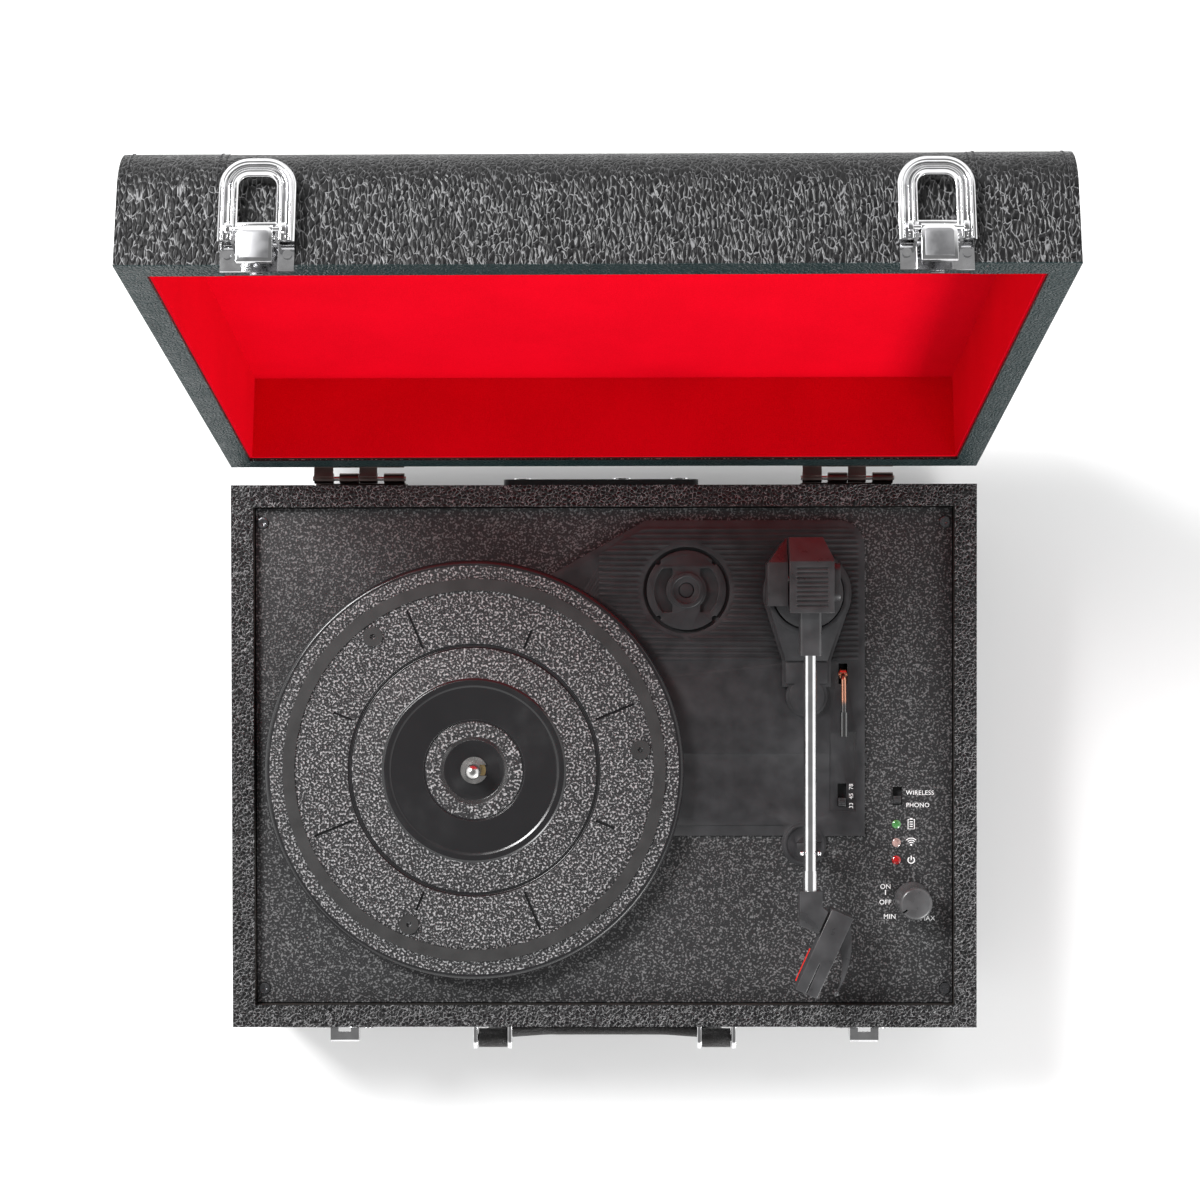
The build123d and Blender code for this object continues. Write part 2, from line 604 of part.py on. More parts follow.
def make_arm_rest_clip():
    """Two springy prongs with ball ends that hold the tube down on the cradle."""
    prongs = []
    for side in (-1, 1):
        x = TUBE_X + side * 4.1
        prong = disc(x, REST_Y - 1.2, 93.4, 98.6, 0.7)
        prong += Pos(x, REST_Y - 1.2, 99.0) * Sphere(1.05)
        prongs.append(prong)
    return prongs


def make_cue_lever():
    """Cranked lever: a hub on trunnions in the slot, a short riser and a rod with a tip."""
    lever = rod_x(CUE_X - 1.5, CUE_X + 1.5, CUE_Y, CUE_Z, 2.4)
    lever += rod_x(CUE_X - 3.7, CUE_X + 3.7, CUE_Y, CUE_Z, 1.0)
    path = FilletPolyline((CUE_X, CUE_Y, CUE_Z), (CUE_X, 37.2, 75.6), (CUE_X, 11.0, 77.6), radius=2.0)
    lever += sweep(Plane(origin=path @ 0, z_dir=path % 0) * Circle(1.25), path)
    lever += rod_y(9.6, 21.0, CUE_X, 77.2, 1.9)
    return lever


def make_cue_lifter():
    """Lifting pin inside the yoke's shaft, carried by a flat bar that the cue lever raises."""
    pin = disc(ARM_X, ARM_Y, 61.0, 91.6, 1.2)
    dx, dy = CUE_X - ARM_X, CUE_Y - ARM_Y
    length = math.hypot(dx, dy)
    turn = math.degrees(math.atan2(dy, dx))
    bar = Pos((ARM_X + CUE_X) / 2, (ARM_Y + CUE_Y) / 2, 61.8) * Rot(0, 0, turn) * Box(length + 6, 6, 1.6)
    bar += block(CUE_X - 1.5, CUE_X + 1.5, CUE_Y - 1.5, CUE_Y + 1.5, 62.0, 67.0)
    return pin + bar


# --- controls ---------------------------------------------------------------------------------
def make_adapter():
    """Disc for large-hole records: a collar, two crescent windows and four notches in its rim."""
    z0 = RECESS_Z
    disc_45 = disc(ADAPTER_X, ADAPTER_Y, z0, z0 + 2.4, ADAPTER_R)
    disc_45 += disc(ADAPTER_X, ADAPTER_Y, z0, z0 + 3.2, 8.4)
    disc_45 -= disc(ADAPTER_X, ADAPTER_Y, z0 + 2.2, z0 + 4, 6.4)
    disc_45 -= disc(ADAPTER_X, ADAPTER_Y, z0 - 1, z0 + 4, SPINDLE_R + 0.1)
    windows = ring(ADAPTER_X, ADAPTER_Y, z0 - 1, z0 + 5, 15.4, 9.6)
    for side in (-1, 1):
        x0, x1 = sorted((ADAPTER_X + side * 6.6, ADAPTER_X + side * 20))
        disc_45 -= windows & block(x0, x1, ADAPTER_Y - 10.5, ADAPTER_Y + 10.5, z0 - 1, z0 + 5)
    for angle in (45, 135, 225, 315):
        dx, dy = ADAPTER_R * math.cos(math.radians(angle)), ADAPTER_R * math.sin(math.radians(angle))
        disc_45 -= disc(ADAPTER_X + dx, ADAPTER_Y + dy, z0 - 1, z0 + 5, 1.3)
    return disc_45


def make_speed_slider():
    """Three-position thumb slide in the speed switch's slot."""
    slide = block(SPEED_X - 1.8, SPEED_X + 1.8, SPEED_Y - 5.2, SPEED_Y - 1.4, 67.6, PLATE_Z + 0.4)
    return slide + block(SPEED_X - 1.5, SPEED_X + 1.5, SPEED_Y - 4.0, SPEED_Y - 2.6, 71, PLATE_Z + 1.6)


def make_source_slider():
    """Two-position thumb slide between the wireless and the record source."""
    slide = block(SWITCH_X - 2.0, SWITCH_X + 2.0, SWITCH_Y - 3.9, SWITCH_Y - 0.2, 66.6, DECK_Z - 0.4)
    return slide + block(SWITCH_X - 1.6, SWITCH_X + 1.6, SWITCH_Y - 2.8, SWITCH_Y - 1.2, 69, DECK_Z + 1.8)


def make_switch_bodies():
    """Housings of the two slide switches, under their slots."""
    speed = block(SPEED_X - 4.5, SPEED_X + 4.5, SPEED_Y - 8, SPEED_Y + 8, 61.0, 67.2)
    source = block(SWITCH_X - 4.5, SWITCH_X + 4.5, SWITCH_Y - 7, SWITCH_Y + 7, 60.0, 66.2)
    return [speed, source]


def make_led(y):
    """Domed lamp pushed through the deck from below."""
    body = disc(LED_X, y, DECK_Z - DECK_T - 2, DECK_Z + 0.2, 2.1)
    body += disc(LED_X, y, DECK_Z - DECK_T - 3.2, DECK_Z - DECK_T, 2.6)
    return body + dome(LED_X, y, DECK_Z + 0.2, 2.1, 0.7)


def make_volume_knob():
    """Tapered knob with a lower skirt, a rounded crown and a pointer notch; its shaft is below."""
    half = [(0, 64.0), (3.0, 64.0), (3.0, 70.8), (8.4, 70.8), (8.5, 72.2), (8.1, 73.0), (7.8, 84.6),
            (7.1, 85.6), (6.2, 86.0), (0, 86.0)]
    section = make_face(Polyline(*[(r, 0, z) for r, z in half], close=True))
    knob = Pos(KNOB_X, KNOB_Y, 0) * revolve(section, Axis.Z)
    notch = block(5.0, 9.0, -0.5, 0.5, 76.0, 87.0).rotate(Axis.Z, 215)
    return knob - Pos(KNOB_X, KNOB_Y, 0) * notch


def make_volume_pot():
    """Potentiometer: a square body with a threaded neck up to the deck."""
    body = block(KNOB_X - 8.5, KNOB_X + 8.5, KNOB_Y - 8.5, KNOB_Y + 8.5, 54.0, 62.0)
    neck = disc(KNOB_X, KNOB_Y, 62.0, 66.8, 4.6)
    return body + neck - disc(KNOB_X, KNOB_Y, 62.0, 70, 3.0 + RUNNING)


def make_amplifier_board():
    """Circuit board on four pillars in the rear right corner, with its tallest parts."""
    board = block(72.0, 148.0, 38.0, 102.0, 22.0, 23.6)
    board += block(80.0, 104.0, 70.0, 84.0, 23.6, 34.0)
    for x in (114.0, 124.0, 134.0):
        board += disc(x, 90.0, 23.6, 36.0, 4.0)
    board += block(112.0, 130.0, 48.0, 66.0, 23.6, 27.0)
    for x in (76.0, 144.0):
        for y in (42.0, 98.0):
            board += disc(x, y, FOOT_H + PANEL, 22.0, 2.5)
    return board


def make_battery_pack():
    """Two cells side by side in a shrink sleeve on the case's floor."""
    floor = FOOT_H + PANEL
    cells = rod_x(-34.0, 34.0, -70.0, floor + 9.2, 9.2)
    cells += rod_x(-34.0, 34.0, -88.0, floor + 9.2, 9.2)
    return cells + block(-34.0, 34.0, -88.0, -70.0, floor, floor + 18.4)


# --- loudspeakers -----------------------------------------------------------------------------
def speaker_at(side, section):
    """Revolve a section given as radius and depth behind the end wall's inner face."""
    face = make_face(Polyline(*[(depth, r, 0) for r, depth in section], close=True))
    return Pos(side * IN_X, SPEAKER_Y, SPEAKER_Z) * Rot(0, 0, 180 if side > 0 else 0) * revolve(face, Axis.X)


def make_speaker_frame(side):
    section = [(23.6, 0.0), (28.0, 0.0), (28.0, 1.4), (24.6, 1.4), (14.0, 13.0), (17.0, 13.0), (17.0, 20.0),
               (0, 20.0), (0, 12.0), (12.6, 12.0), (23.6, 1.0)]
    return speaker_at(side, section)


def make_speaker_cone(side):
    section = [(0, 7.2), (6.0, 7.6), (8.0, 9.0), (22.0, 0.4), (23.5, 0.4), (23.5, 1.0), (8.4, 10.0), (0, 8.4)]
    return speaker_at(side, section)


def make_speaker_grille(side):
    """Pressed round grille with rings of holes, its collar pushed into the wall."""
    x0 = side * BOX_X
    low, high = sorted((x0, x0 + side * 1.4))
    plate = rod_x(low, high, SPEAKER_Y, SPEAKER_Z, 29.0)
    c0, c1 = sorted((x0, x0 - side * 4.0))
    plate += rod_x(c0, c1, SPEAKER_Y, SPEAKER_Z, 25.9) - rod_x(c0 - 1, c1 + 1, SPEAKER_Y, SPEAKER_Z, 24.8)
    for row in range(4):
        count = max(1, row * 6)
        for index in range(count):
            angle = 2 * math.pi * index / count
            y = SPEAKER_Y + row * 6.2 * math.cos(angle)
            z = SPEAKER_Z + row * 6.2 * math.sin(angle)
            plate -= rod_x(low - 1, high + 1, y, z, 1.9)
    return plate


# --- rear connectors --------------------------------------------------------------------------
RCA_XS = (-27.0, -11.0)
AUDIO_XS = (9.0, 37.0)
DC_X = -40.0


def make_rear_panel():
    panel = block(PANEL_X - 47.3, PANEL_X + 47.3, BOX_Y, BOX_Y + 3.4, 18.0, 52.0)
    panel = fillet(panel.edges().filter_by(Axis.Y), 3.0)
    panel += block(PANEL_X - 43.6, PANEL_X + 43.6, BOX_Y - 3.0, BOX_Y, 23.4, 46.6)
    for x in RCA_XS:
        panel -= rod_y(110, 140, x, JACK_Z, 6.6)
    for x in (*AUDIO_XS, DC_X):
        panel -= rod_y(110, 140, x, JACK_Z, 4.0)
    return panel


def make_rear_jacks():
    """Two recessed phono sockets, two 3.5 mm sockets with nuts and the low-voltage supply socket."""
    face = BOX_Y + 3.4
    jacks = []
    for x in RCA_XS:
        socket = rod_y(118, 124, x, JACK_Z, 6.6) + rod_y(123, face, x, JACK_Z, 4.15)
        jacks.append(socket - rod_y(122, face + 1, x, JACK_Z, 1.6))
    for x in AUDIO_XS:
        jack = rod_y(116, face, x, JACK_Z, 4.0) + rod_y(face, face + 1.2, x, JACK_Z, 5.0)
        jacks.append(jack - rod_y(120, face + 2, x, JACK_Z, 1.78))
    barrel = rod_y(118, face, DC_X, JACK_Z, 4.0) + rod_y(face, face + 1.0, DC_X, JACK_Z, 5.0)
    barrel -= rod_y(122, face + 2, DC_X, JACK_Z, 2.8)
    jacks.append(barrel + rod_y(121, 129, DC_X, JACK_Z, 0.95))
    return jacks


# --- hinges -----------------------------------------------------------------------------------
def hinge_side(x, knuckles, direction, bore):
    """One leaf and its knuckles; direction is +1 for the lid's leaf and -1 for the base's."""
    z_far = HINGE_Z + direction * (LEAF_H + 4.4)
    low, high = sorted((HINGE_Z + direction * 4.6, z_far))
    leaf = block(x - 21.5, x + 21.5, BOX_Y, BOX_Y + LEAF_T, low, high)
    for a, b in knuckles:
        low, high = sorted((HINGE_Z, HINGE_Z + direction * 5.0))
        leaf += block(x + a, x + b, BOX_Y + 0.3, BOX_Y + 0.3 + LEAF_T, low, high)
        leaf += block(x + a, x + b, BOX_Y + 0.3, HINGE_Y, min(HINGE_Z, HINGE_Z + direction * 1.8),
                      max(HINGE_Z, HINGE_Z + direction * 1.8))
        leaf += rod_x(x + a, x + b, HINGE_Y, HINGE_Z, KNUCKLE_R)
    return leaf - rod_x(x - 30, x + 30, HINGE_Y, HINGE_Z, bore)


def make_base_leaf(side):
    return hinge_side(side * HINGE_X, BASE_KNUCKLES, -1, HINGE_PIN_R)


def make_lid_leaf(side):
    return opened(hinge_side(side * HINGE_X, LID_KNUCKLES, 1, HINGE_PIN_R + RUNNING))


def make_hinge_pin(side):
    x = side * HINGE_X
    return rod_x(x - 22.2, x + 22.2, HINGE_Y, HINGE_Z, HINGE_PIN_R)


# --- latches ----------------------------------------------------------------------------------
LEVER_Y = -134.5
LEVER_Z = RIM_Z + 8.6
HOOK_Y = -137.0
HOOK_Z = RIM_Z + 11.6


def make_keeper(side):
    """Base half of a latch: a flanged bracket with a slot for the lid's tongue."""
    x = side * LATCH_X
    keeper = block(x - 13.6, x + 13.6, -BOX_Y - 1.0, -BOX_Y, 60.0, RIM_Z - 4.0)
    for offset in (-10.6, 10.6):
        keeper += rod_y(-BOX_Y - 1.8, -BOX_Y - 0.9, x + offset, 66.0, 1.9)
    bracket = side_prism([(-BOX_Y - 0.9, RIM_Z - 2.6), (-136.0, RIM_Z - 2.6), (-136.9, RIM_Z - 3.4),
                          (-136.9, 68.4), (-135.9, 68.4), (-135.6, RIM_Z - 3.8), (-BOX_Y - 0.9, RIM_Z - 3.8)],
                         x - 6.8, x + 6.8)
    for offset in (-6.8, 5.8):
        bracket += side_prism([(-BOX_Y - 0.9, RIM_Z - 2.7), (-136.4, RIM_Z - 2.9), (-136.4, 68.4),
                               (-BOX_Y - 0.9, 61.0)], x + offset, x + offset + 1.0)
    slot = block(x - 3.0, x + 3.0, -132.2, -BOX_Y - 0.05, 70.0, RIM_Z)
    return keeper + bracket - slot


def make_latch_plate(side):
    """Lid half of a latch: riveted plate, locating tongue and the ears that carry the lever."""
    x = side * LATCH_X
    low, high = RIM_Z - 2.3, RIM_Z + 12.6
    plate = block(x - 13.6, x + 13.6, -BOX_Y - 1.2, -BOX_Y, low, high)
    plate += block(x - 2.4, x + 2.4, -BOX_Y - 1.2, -BOX_Y, RIM_Z - 3.7, low + 1)
    plate -= block(x - 20, x + 20, -BOX_Y - 0.4, -BOX_Y + 1, low - 5, RIM_Z + 0.6)
    for offset in (-8.9, 7.7):
        ear = block(x + offset, x + offset + 1.2, LEVER_Y - 1.6, -BOX_Y - 1.0, LEVER_Z - 2.2, LEVER_Z + 2.2)
        plate += ear
    plate -= rod_x(x - 9.5, x + 9.5, LEVER_Y, LEVER_Z, 0.9)
    plate += rod_x(x - 13.0, x - 7.7, LEVER_Y, LEVER_Z, 0.9)
    plate += rod_x(x + 7.7, x + 13.0, LEVER_Y, LEVER_Z, 0.9)
    for offset in (-11.1, 11.1):
        plate += rod_y(-BOX_Y - 2.0, -BOX_Y - 1.1, x + offset, RIM_Z + 4.1, 1.7)
    return opened(plate)


def make_latch_lever(side):
    """Rounded frame that is pulled out to let the hook down."""
    x = side * LATCH_X
    outer = block(x - 14.2, x + 14.2, -136.8, -133.6, RIM_Z + 7.4, RIM_Z + 40.9)
    outer = fillet(outer.edges().filter_by(Axis.Y), 5.6)
    inner = block(x - 7.2, x + 7.2, -140, -130, RIM_Z + 13.2, RIM_Z + 33.8)
    frame = outer - fillet(inner.edges().filter_by(Axis.Y).group_by(Axis.Z)[-1], 4.0)
    frame -= block(x - 9.2, x + 9.2, -140, -130, RIM_Z + 6.0, RIM_Z + 13.4)
    frame -= rod_x(x - 20, x + 20, LEVER_Y, LEVER_Z, 0.9 + RUNNING)
    frame = chamfer(frame.faces().sort_by(Axis.Y)[0].outer_wire().edges(), 0.8)
    frame += rod_x(x - 9.6, x + 9.6, HOOK_Y, HOOK_Z, 0.8)
    for offset in (-11.2, 9.2):
        frame += block(x + offset, x + offset + 2.0, HOOK_Y - 1.2, -135.0, HOOK_Z - 1.4, HOOK_Z + 2.4)
    return opened(frame)


def make_latch_hook(side):
    """Hook plate hung on the lever, its toe turned in towards the case."""
    x = side * LATCH_X
    hook = block(x - 6.6, x + 6.6, -138.7, -137.5, RIM_Z - 1.5, RIM_Z + 9.6)
    hook += block(x - 6.6, x + 6.6, -138.0, -136.0, RIM_Z - 1.5, RIM_Z - 0.4)
    hook += rod_x(x - 6.6, x + 6.6, HOOK_Y, HOOK_Z, 1.9)
    hook += block(x - 6.6, x + 6.6, -138.7, -137.5, RIM_Z + 9.0, HOOK_Z)
    hook -= rod_x(x - 20, x + 20, HOOK_Y, HOOK_Z, 0.8 + RUNNING)
    return opened(hook)


# --- handle -----------------------------------------------------------------------------------
def make_handle_mount(side):
    """Oval plate on the front wall with two ears and the pin that the handle turns on."""
    x = side * HANDLE_X
    wall = Plane(origin=(x, -BOX_Y, HANDLE_Z), x_dir=(1, 0, 0), z_dir=(0, -1, 0))
    plate = extrude(wall * Ellipse(20.2, 10.0), 1.2)
    plate += extrude(wall.offset(1.2) * Ellipse(18.6, 8.6), 0.9)
    for offset in (-9.4, 7.4):
        ear = block(x + offset, x + offset + 2.0, HANDLE_Y, -BOX_Y - 1.0, HANDLE_Z - 5.4, HANDLE_Z + 5.4)
        plate += ear + rod_x(x + offset, x + offset + 2.0, HANDLE_Y, HANDLE_Z, 5.4)
    return plate + rod_x(x - 9.4, x + 9.4, HANDLE_Y, HANDLE_Z, 1.6)


def make_handle_grip():
    """Padded strap handle, hanging in a bow below its two eyes."""
    shoulder = HANDLE_Z - 15.0
    low = HANDLE_Z - 24.0
    bow = FilletPolyline(
        (-HANDLE_X, HANDLE_Y, HANDLE_Z - 3.0), (-HANDLE_X, HANDLE_Y, shoulder), (-30.0, HANDLE_Y, low),
        (30.0, HANDLE_Y, low), (HANDLE_X, HANDLE_Y, shoulder), (HANDLE_X, HANDLE_Y, HANDLE_Z - 3.0),
        radius=[9.0, 30.0, 30.0, 9.0])
    start = Plane(origin=bow @ 0, x_dir=(0, 1, 0), z_dir=bow % 0)
    grip = sweep(start * RectangleRounded(6.0, 9.2, 2.6), bow)
    for side in (-1, 1):
        x = side * HANDLE_X
        grip += rod_x(x - 6.9, x + 6.9, HANDLE_Y, HANDLE_Z, 4.6)
    for side in (-1, 1):
        x = side * HANDLE_X
        grip -= rod_x(x - 10, x + 10, HANDLE_Y, HANDLE_Z, 1.6 + RUNNING)
    return grip


def main():
    os.makedirs("parts", exist_ok=True)
    save("case_box", make_case_box())
    save("base_cover", *make_base_cover())
    save("lid_shell", opened(lid_wood() - lid_cavity()))
    save("lid_cover", *make_lid_cover())
    save("lid_lining", make_lid_lining())
    save("feet", *make_feet())
    save("case_screws", *make_case_screws())
    save("deck_plate", make_deck_plate())
    save("mechanism_plate", make_mechanism_plate())
    save("platter", make_platter())
    save("platter_bush", make_platter_bush())
    save("platter_rubber", *make_platter_rubber())
    save("spindle", make_spindle())
    save("spindle_clip", make_spindle_clip())
    save("drive_belt", make_drive_belt())
    save("motor", *make_motor())
    save("motor_pulley", make_motor_pulley())
    save("tonearm_pedestal", make_tonearm_pedestal())
    save("tonearm_yoke", make_tonearm_yoke())
    save("tonearm_pivot_pins", *make_pivot_pins())
    save("tonearm_block", make_tonearm_block())
    save("tonearm_counterweight", make_counterweight())
    save("tonearm_tube", *make_tonearm_tube())
    save("headshell", make_headshell())
    save("cartridge", make_cartridge())
    save("stylus", make_stylus())
    save("finger_lift", make_finger_lift())
    save("arm_rest_post", make_arm_rest_post())
    save("arm_rest_clip", *make_arm_rest_clip())
    save("cue_lever", make_cue_lever())
    save("cue_lifter", make_cue_lifter())
    save("adapter_45", make_adapter())
    save("speed_switch_slider", make_speed_slider())
    save("source_switch_slider", make_source_slider())
    save("switch_bodies", *make_switch_bodies())
    for name, y in LED_YS.items():
        save(name, make_led(y))
    save("volume_knob", make_volume_knob())
    save("volume_pot", make_volume_pot())
    save("amplifier_board", make_amplifier_board())
    save("battery_pack", make_battery_pack())
    save("speaker_frames", *both_sides(make_speaker_frame))
    save("speaker_cones", *both_sides(make_speaker_cone))
    save("speaker_grilles", *both_sides(make_speaker_grille))
    save("rear_panel", make_rear_panel())
    save("rear_jacks", *make_rear_jacks())
    save("hinge_base_leaves", *both_sides(make_base_leaf))
    save("hinge_lid_leaves", *both_sides(make_lid_leaf))
    save("hinge_pins", *both_sides(make_hinge_pin))
    save("latch_keepers", *both_sides(make_keeper))
    save("latch_plates", *both_sides(make_latch_plate))
    save("latch_lever_left", make_latch_lever(-1))
    save("latch_lever_right", make_latch_lever(1))
    save("latch_hook_left", make_latch_hook(-1))
    save("latch_hook_right", make_latch_hook(1))
    save("handle_mounts", *both_sides(make_handle_mount))
    save("handle_grip", make_handle_grip())


main()
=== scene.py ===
"""Looks of the suitcase record player: finishes, soft edges, stitching, lettering, light and camera.

Metres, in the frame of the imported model: +X right, +Y to the hinges, +Z up.
"""

import json
import math

import bmesh
import bpy
from mathutils import Matrix, Vector


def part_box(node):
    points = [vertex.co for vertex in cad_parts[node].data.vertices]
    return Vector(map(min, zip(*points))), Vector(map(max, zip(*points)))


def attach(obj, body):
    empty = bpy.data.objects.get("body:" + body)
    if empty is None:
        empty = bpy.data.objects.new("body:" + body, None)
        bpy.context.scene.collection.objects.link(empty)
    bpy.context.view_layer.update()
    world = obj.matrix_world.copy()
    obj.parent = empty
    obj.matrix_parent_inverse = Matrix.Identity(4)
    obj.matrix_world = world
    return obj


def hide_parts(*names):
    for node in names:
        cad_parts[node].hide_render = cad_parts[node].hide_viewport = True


MM = 0.001

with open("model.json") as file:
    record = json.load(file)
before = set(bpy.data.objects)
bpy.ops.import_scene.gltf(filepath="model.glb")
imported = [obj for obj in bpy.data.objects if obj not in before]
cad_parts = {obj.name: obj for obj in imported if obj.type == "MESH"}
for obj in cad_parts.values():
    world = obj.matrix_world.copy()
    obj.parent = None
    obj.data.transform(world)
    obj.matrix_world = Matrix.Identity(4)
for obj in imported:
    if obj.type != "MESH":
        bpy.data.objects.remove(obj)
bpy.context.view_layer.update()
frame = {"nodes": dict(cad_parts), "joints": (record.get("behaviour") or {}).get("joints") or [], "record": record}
NODES = frame["nodes"]
JOINTS = {joint["name"]: joint for joint in frame["joints"]}
BODIES = frame["record"]["behaviour"]["bodies"]
BODY_OF = {node: body for body, names in BODIES.items() for node in names}
SLOT_OF = {part["node"]: part["material_slot"] for part in frame["record"]["subparts"]}


def middle(node):
    """Centre of a CAD node's box."""
    low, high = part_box(node)
    return (low + high) / 2


HINGE = Vector(JOINTS["lid_hinge"]["pos_m"])
LID_OPEN = math.radians(104)
DECK_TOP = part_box("deck_plate")[1].z
SPINDLE = middle("spindle")
KNOB = middle("volume_knob")
CASE_LOW, CASE_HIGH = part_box("base_cover")
RIM_Z = CASE_HIGH.z
HALF_W = CASE_HIGH.x
HALF_D = CASE_HIGH.y


# --- node helpers -----------------------------------------------------------------------------
def add(tree, kind, inputs=None, **settings):
    """Add a shader node; inputs may be values or other nodes' output sockets."""
    node = tree.nodes.new("ShaderNode" + kind)
    for key, value in settings.items():
        setattr(node, key, value)
    for key, value in (inputs or {}).items():
        if isinstance(value, bpy.types.NodeSocket):
            tree.links.new(value, node.inputs[key])
        else:
            node.inputs[key].default_value = value
    return node


def new_material(name, color, roughness, metallic=0.0, **sockets):
    """A Principled material; its uniform values sit on the shader's own sockets."""
    material = bpy.data.materials.new(name)
    material.use_nodes = True
    shader = material.node_tree.nodes["Principled BSDF"]
    shader.inputs["Base Color"].default_value = (*color, 1)
    shader.inputs["Roughness"].default_value = roughness
    shader.inputs["Metallic"].default_value = metallic
    for key, value in sockets.items():
        shader.inputs[key.replace("_", " ")].default_value = value
    return material, material.node_tree, shader


def place(tree, stretch=(1, 1, 1), turn=(0, 0, 0)):
    """Object coordinates in metres, stretched and turned."""
    where = add(tree, "TexCoord").outputs["Object"]
    return add(tree, "Mapping", {"Vector": where, "Rotation": turn, "Scale": stretch}).outputs["Vector"]


def noise(tree, where, size, detail=3.0, distortion=0.0):
    """Noise whose features are about size across."""
    inputs = {"Vector": where, "Scale": 1 / size, "Detail": detail, "Distortion": distortion}
    return add(tree, "TexNoise", inputs).outputs["Fac"]


def spread(tree, value, low, high, out_low=0.0, out_high=1.0):
    """Stretch a value's range from low..high to out_low..out_high."""
    inputs = {"Value": value, "From Min": low, "From Max": high, "To Min": out_low, "To Max": out_high}
    return add(tree, "MapRange", inputs).outputs["Result"]


def blend_colors(tree, factor, a, b):
    """Colour that goes from a to b with factor."""
    node = add(tree, "Mix", data_type="RGBA")
    tree.links.new(factor, node.inputs["Factor"])
    for key, value in (("A", a), ("B", b)):
        socket = next(s for s in node.inputs if s.name == key and s.type == "RGBA")
        if isinstance(value, bpy.types.NodeSocket):
            tree.links.new(value, socket)
        else:
            socket.default_value = (*value, 1)
    return next(s for s in node.outputs if s.type == "RGBA")


def math_node(tree, operation, a, b=0.0):
    """Result of a Math node on a and b."""
    node = add(tree, "Math", operation=operation)
    for index, value in enumerate((a, b)):
        if isinstance(value, bpy.types.NodeSocket):
            tree.links.new(value, node.inputs[index])
        else:
            node.inputs[index].default_value = value
    return node.outputs[0]


def bump(tree, shader, height, depth):
    """Relief of a real depth in metres."""
    node = add(tree, "Bump", {"Height": height, "Distance": depth, "Strength": 1.0})
    tree.links.new(node.outputs["Normal"], shader.inputs["Normal"])


def drive(tree, shader, socket, value):
    """Link a node's output to one of the shader's sockets."""
    tree.links.new(value, shader.inputs[socket])


def vector_math(tree, operation, a, b):
    """A Vector Math node on a and b."""
    return add(tree, "VectorMath", {0: a, 1: b}, operation=operation)


# --- materials --------------------------------------------------------------------------------
LID_RIM_FADE = (5.2 * MM, 4.9 * MM)
LID_TOP_FADE = (34 * MM, 42 * MM)


def lid_height(tree):
    """Distance from the hinge line towards the closed lid's top, so it marks the rim at any pose."""
    where = add(tree, "TexCoord").outputs["Object"]
    offset = vector_math(tree, "SUBTRACT", where, HINGE).outputs[0]
    up = (0, math.sin(LID_OPEN), math.cos(LID_OPEN))
    return vector_math(tree, "DOT_PRODUCT", offset, up).outputs["Value"]


def leather(name, color, light, pebble, depth, roughness, rim_color=None):
    """Embossed leatherette whose creases are painted paler, as painted highlights of light on the pebbles' flanks;
    its strands run up the case's walls.

    With rim_color it is the lid's, whose height runs along Y as it stands open.
    """
    material, tree, shader = new_material(name, color, roughness, Specular_IOR_Level=0.3)
    where = place(tree, (1.0, 0.34, 1.0) if rim_color else (1.0, 1.0, 0.36), (0.12, 0.0, 0.22))
    wobbling = {"Vector": where, "Scale": 0.45 / pebble, "Detail": 2.0}
    wobble = add(tree, "TexNoise", wobbling).outputs["Color"]
    shift = vector_math(tree, "SUBTRACT", wobble, (0.5, 0.5, 0.5)).outputs[0]
    shift = add(tree, "VectorMath", {0: shift, "Scale": pebble * 1.3}, operation="SCALE").outputs[0]
    bent = vector_math(tree, "ADD", where, shift).outputs[0]
    cells = add(tree, "TexVoronoi", {"Vector": bent, "Scale": 1 / pebble}, feature="DISTANCE_TO_EDGE")
    crown = spread(tree, cells.outputs["Distance"], 0.0, 0.30)
    fine = math_node(tree, "MULTIPLY", noise(tree, where, pebble * 0.3, 1.0), 0.08)
    bump(tree, shader, math_node(tree, "ADD", crown, fine), depth)
    patches = noise(tree, where, 0.012)
    # painted highlight: the pale colour in the creases stands for light caught on the pebbles' flanks
    crease = spread(tree, cells.outputs["Distance"], 0.075, 0.015)
    broken = spread(tree, noise(tree, where, pebble * 0.8, 1.0), 0.44, 0.56, 0.04, 1.0)
    crease_highlight = math_node(tree, "MULTIPLY", crease, broken)
    ground = color
    if rim_color:
        height = lid_height(tree)
        rim = spread(tree, height, *LID_RIM_FADE)
        ground = blend_colors(tree, rim, color, rim_color)
        crease_highlight = math_node(tree, "MULTIPLY", crease_highlight, math_node(tree, "SUBTRACT", 1.0, rim))
        # the painted crease highlights are dimmed to about a third towards the lid's top
        shaded = spread(tree, height, *LID_TOP_FADE, 1.0, 0.35)
        crease_highlight = math_node(tree, "MULTIPLY", crease_highlight, shaded)
    drive(tree, shader, "Base Color", blend_colors(tree, crease_highlight, ground, light))
    drive(tree, shader, "Roughness", spread(tree, patches, 0.3, 0.7, roughness - 0.05, roughness + 0.08))
    return material


def speckled(name, dark, light, grain, depth, roughness):
    """Board or plastic with a fine, hard texture; its paler flecks are partly real speckle and partly painted
    glints.
    """
    material, tree, shader = new_material(name, dark, roughness)
    where = place(tree)
    grains = noise(tree, where, grain, 2.0)
    # paler flecks: partly real speckle, partly painted glints that stand for light caught by the grains
    drive(tree, shader, "Base Color", blend_colors(tree, spread(tree, grains, 0.52, 0.66), dark, light))
    bump(tree, shader, grains, depth)
    drive(tree, shader, "Roughness", spread(tree, grains, 0.35, 0.7, roughness + 0.1, roughness - 0.08))
    return material


